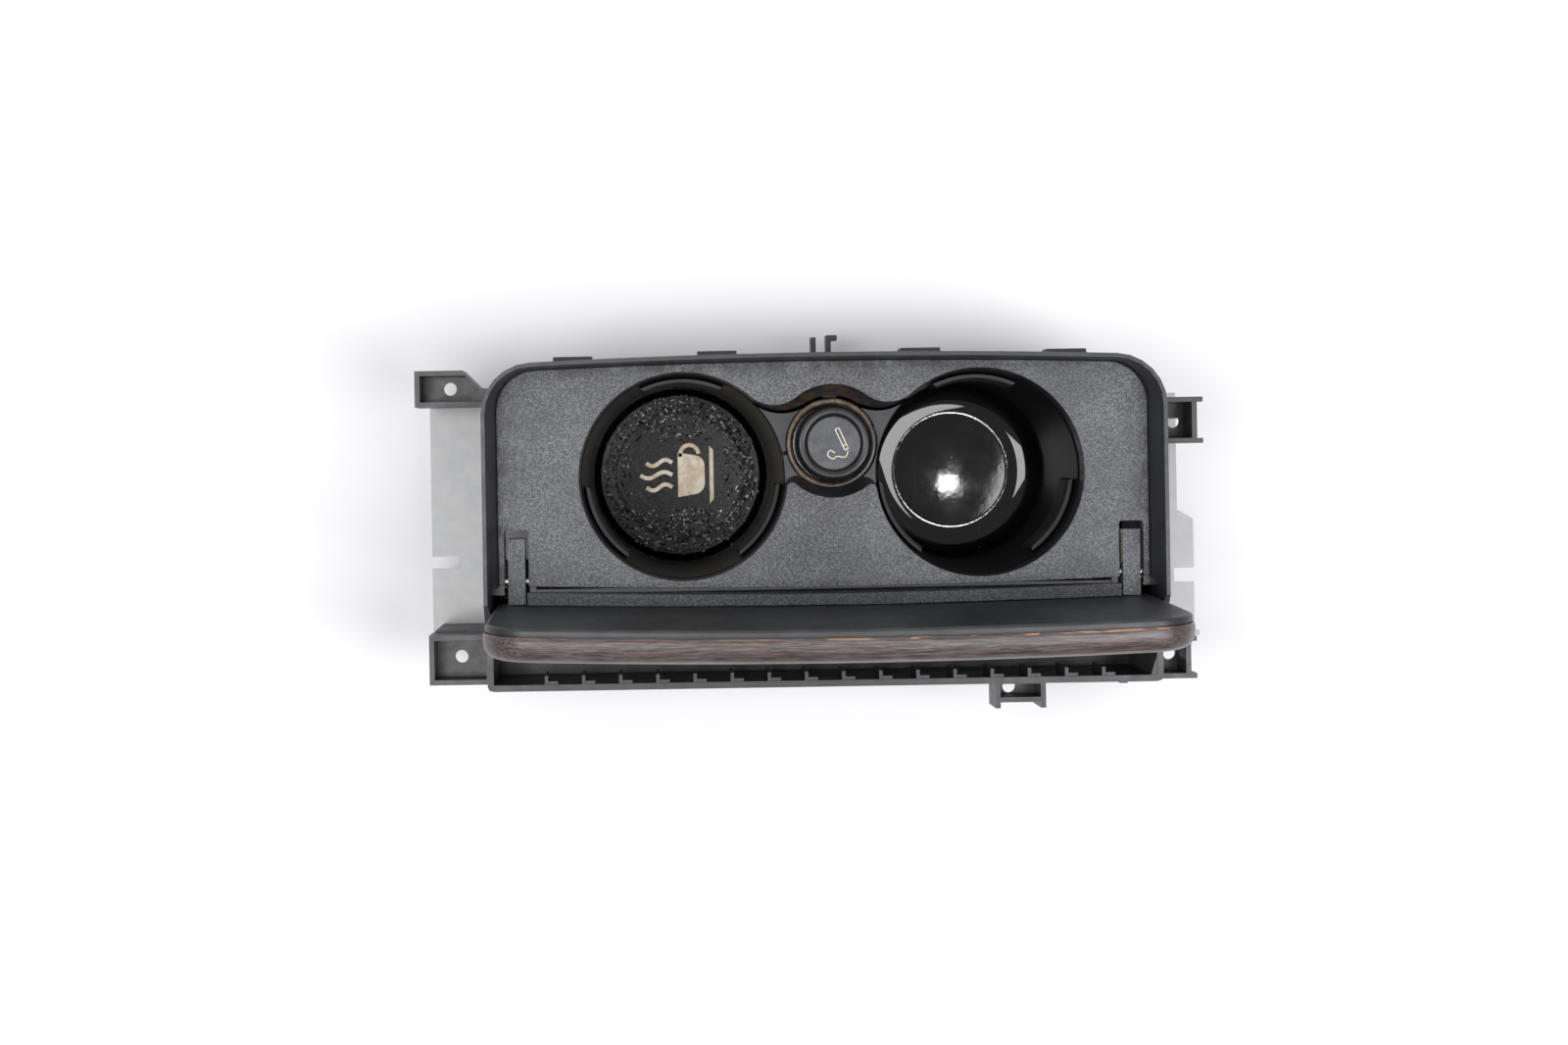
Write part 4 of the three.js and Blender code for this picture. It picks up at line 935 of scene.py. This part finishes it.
refined("socket_retainer", DARK, "base", 0.2)
refined("contact_insulator", STONE, "base", 0.2)
refined("centre_contact", BRASS, "base", 0.15)
refined("lighter_rod", STEEL, "lighter_button", 0.15)
refined("socket_clip", STEEL, "base", 0.1)
refined("lamp_holder", DARK, "base", 0.4)
refined("power_connector", DARK, "base", 0.5)
for word in ("left", "right"):
    refined(f"hinge_pin_{word}", STEEL, "base", 0.3)
    refined(f"stop_buffer_{word}", RUBBER, "base", 0.8, 3)
refined("damper_body", DARK, "base", 0.4)
refined("damper_pinion", PALE, "damper_gear", 0.08, 1)

# ---------------------------------------------------------------- lid


def crown(x):
    """Height of the lid's crowned underside: a parabola across its width."""
    return LID_BASE + LID_CROWN * (1 - ((x - MIDDLE_X) / LID_HALF) ** 2)


def lid_plan(step):
    """The lid's outline seen square on, taken in by a step all round."""
    return {
        "half": LID_HALF - step, "far": LID_FAR - LID_BULGE - step, "near": LID_NEAR + step,
        "bulge": LID_BULGE, "far_radius": 17.0 - step, "near_radius": 6.0 - step,
    }


def lid_shell():
    """The lid's inner shell: a thin plate with a well-rounded inner edge and a step at the seam."""
    edge = rounded(
        [(5.0, 0), (0, 0), (0, 2.75), (0.8, 2.75), (0.8, 3.28), (5.0, 3.28)],
        [0, 1.9, 0.15, 0.1, 0, 0], 7, closed=False,
    )
    plan = lid_plan(0.8)
    vertices, faces = panel([(inset, height, plan) for inset, height in edge], crown)
    return on_lid(vertices), faces


def lid_cover():
    """The wooden cover: a bullnose edge all round, fuller towards the seam, under a gently crowned top."""
    edge = rounded(
        [(0.6, 3.3), (0, 4.3), (0, 7.8), (1.2, 11.0), (4.2, 12.6), (9, 12.85), (16, 12.95)],
        [0.2, 0.9, 2.6, 1.9, 2.4, 3.0, 0], 6, closed=False,
    )
    plan = lid_plan(0.0)
    vertices, faces = panel([(inset, height, plan) for inset, height in [(4.0, 3.3), *edge]], crown)
    seam = vertices[:, 2] - crown(vertices[:, 0]) - 3.3
    return on_lid(vertices), faces, seam


def hinge_strip():
    """The strip between lid and deck, rounded along its upper edge."""
    levels = [(0.35, 0.0), (0.1, 0.12), (0.0, 0.4), (0.0, 1.0)]
    rings = []
    for inset, share in levels:
        x, near, far = panel_stations(115.5, 3.6 - inset, 1.0 + inset, 0, 0, 0.6, 0.6)
        low = 4.2 + 2.1 * np.clip(1 - ((x - MIDDLE_X) / 112) ** 2, 0, 1)
        z = low + (crown(x) - 0.3 - low) * share
        tilt = 0.035 * z - 0.15
        rings.append(np.concatenate([np.stack([x, near, z], -1), np.stack([x, far + tilt, z], -1)[::-1]]))
    grid = np.stack(rings)
    vertices, faces = grid_shell(grid, False, True, True)
    return on_lid(vertices), faces


piece("lid_inner_shell", lid_shell(), SHELL, "lid", ["lid_shell"])
cover_vertices, cover_faces, seam = lid_cover()
cover = piece("lid_wood_cover", (cover_vertices, cover_faces), VENEER, "lid", ["lid_cover"])
marks = cover.data.attributes.new("seam_height", "FLOAT", "POINT")
marks.data.foreach_set("value", seam.astype(np.float32))
piece("lid_hinge_strip", hinge_strip(), STRIP, "lid", ["hinge_strip"])
for word in ("left", "right"):
    refined(f"hinge_arm_{word}", GREY, "lid", 0.6, 3)
    refined(f"arm_screw_{word}", STEEL, "lid", 0.2)
refined("sector_gear", PALE, "lid", 0.08, 1)

# ---------------------------------------------------------------- floor, light and camera


def studio():
    """A pale sweep, an even room light and two soft boxes, left and right of the camera."""
    look, _, body, _ = started("matte paper", Roughness=0.9)
    body.inputs["Base Color"].default_value = linear("f4f4f6")
    mesh = bpy.data.meshes.new("floor")
    size = 3.0
    corners = [(-size, -size, 0), (size, -size, 0), (size, size, 0), (-size, size, 0)]
    mesh.from_pydata(corners, [], [(0, 1, 2, 3)])
    mesh.materials.append(look)
    floor = bpy.data.objects.new("floor", mesh)
    bpy.context.scene.collection.objects.link(floor)
    world = bpy.data.worlds.new("room")
    world.use_nodes = True
    back = world.node_tree.nodes["Background"]
    back.inputs["Color"].default_value = linear("fbfbff")
    back.inputs["Strength"].default_value = 0.4
    bpy.context.scene.world = world
    boxes = [
        ("left_box", (-0.43, -0.05, 1.24), (0.44, 0.62), 7.6),
        ("right_box", (0.58, -0.22, 1.24), (0.46, 0.76), 9.4),
        ("rear_box", (0.1, 1.1, 0.9), (1.2, 0.5), 3.0),
        ("bulb", (0.227, -0.006, 1.24), (0.016, 0.016), 0.045),
    ]
    for name, place, size, power in boxes:
        lamp = bpy.data.lights.new(name, "AREA")
        lamp.shape = "RECTANGLE"
        lamp.size, lamp.size_y = size
        lamp.energy = power
        made = bpy.data.objects.new(name, lamp)
        made.location = place
        aim = -np.array(place) + np.array([0, 0, 0.08])
        flat = math.hypot(aim[0], aim[1])
        made.rotation_euler = (math.atan2(flat, -aim[2]), 0, math.atan2(-aim[0], aim[1]))
        bpy.context.scene.collection.objects.link(made)


def camera():
    """Straight down from above the left well, with the lens shifted to take in the whole object."""
    data = bpy.data.cameras.new("camera")
    data.sensor_width = 36.0
    data.lens = 50.33
    data.shift_x = 0.0856
    data.shift_y = -0.0425
    data.clip_end = 20.0
    made = bpy.data.objects.new("camera", data)
    made.location = tuple(placed(CAMERA_AT))
    made.rotation_euler = (0, 0, CAMERA_ROLL)
    bpy.context.scene.collection.objects.link(made)
    bpy.context.scene.camera = made


studio()
camera()
bpy.context.scene.view_settings.view_transform = "Standard"
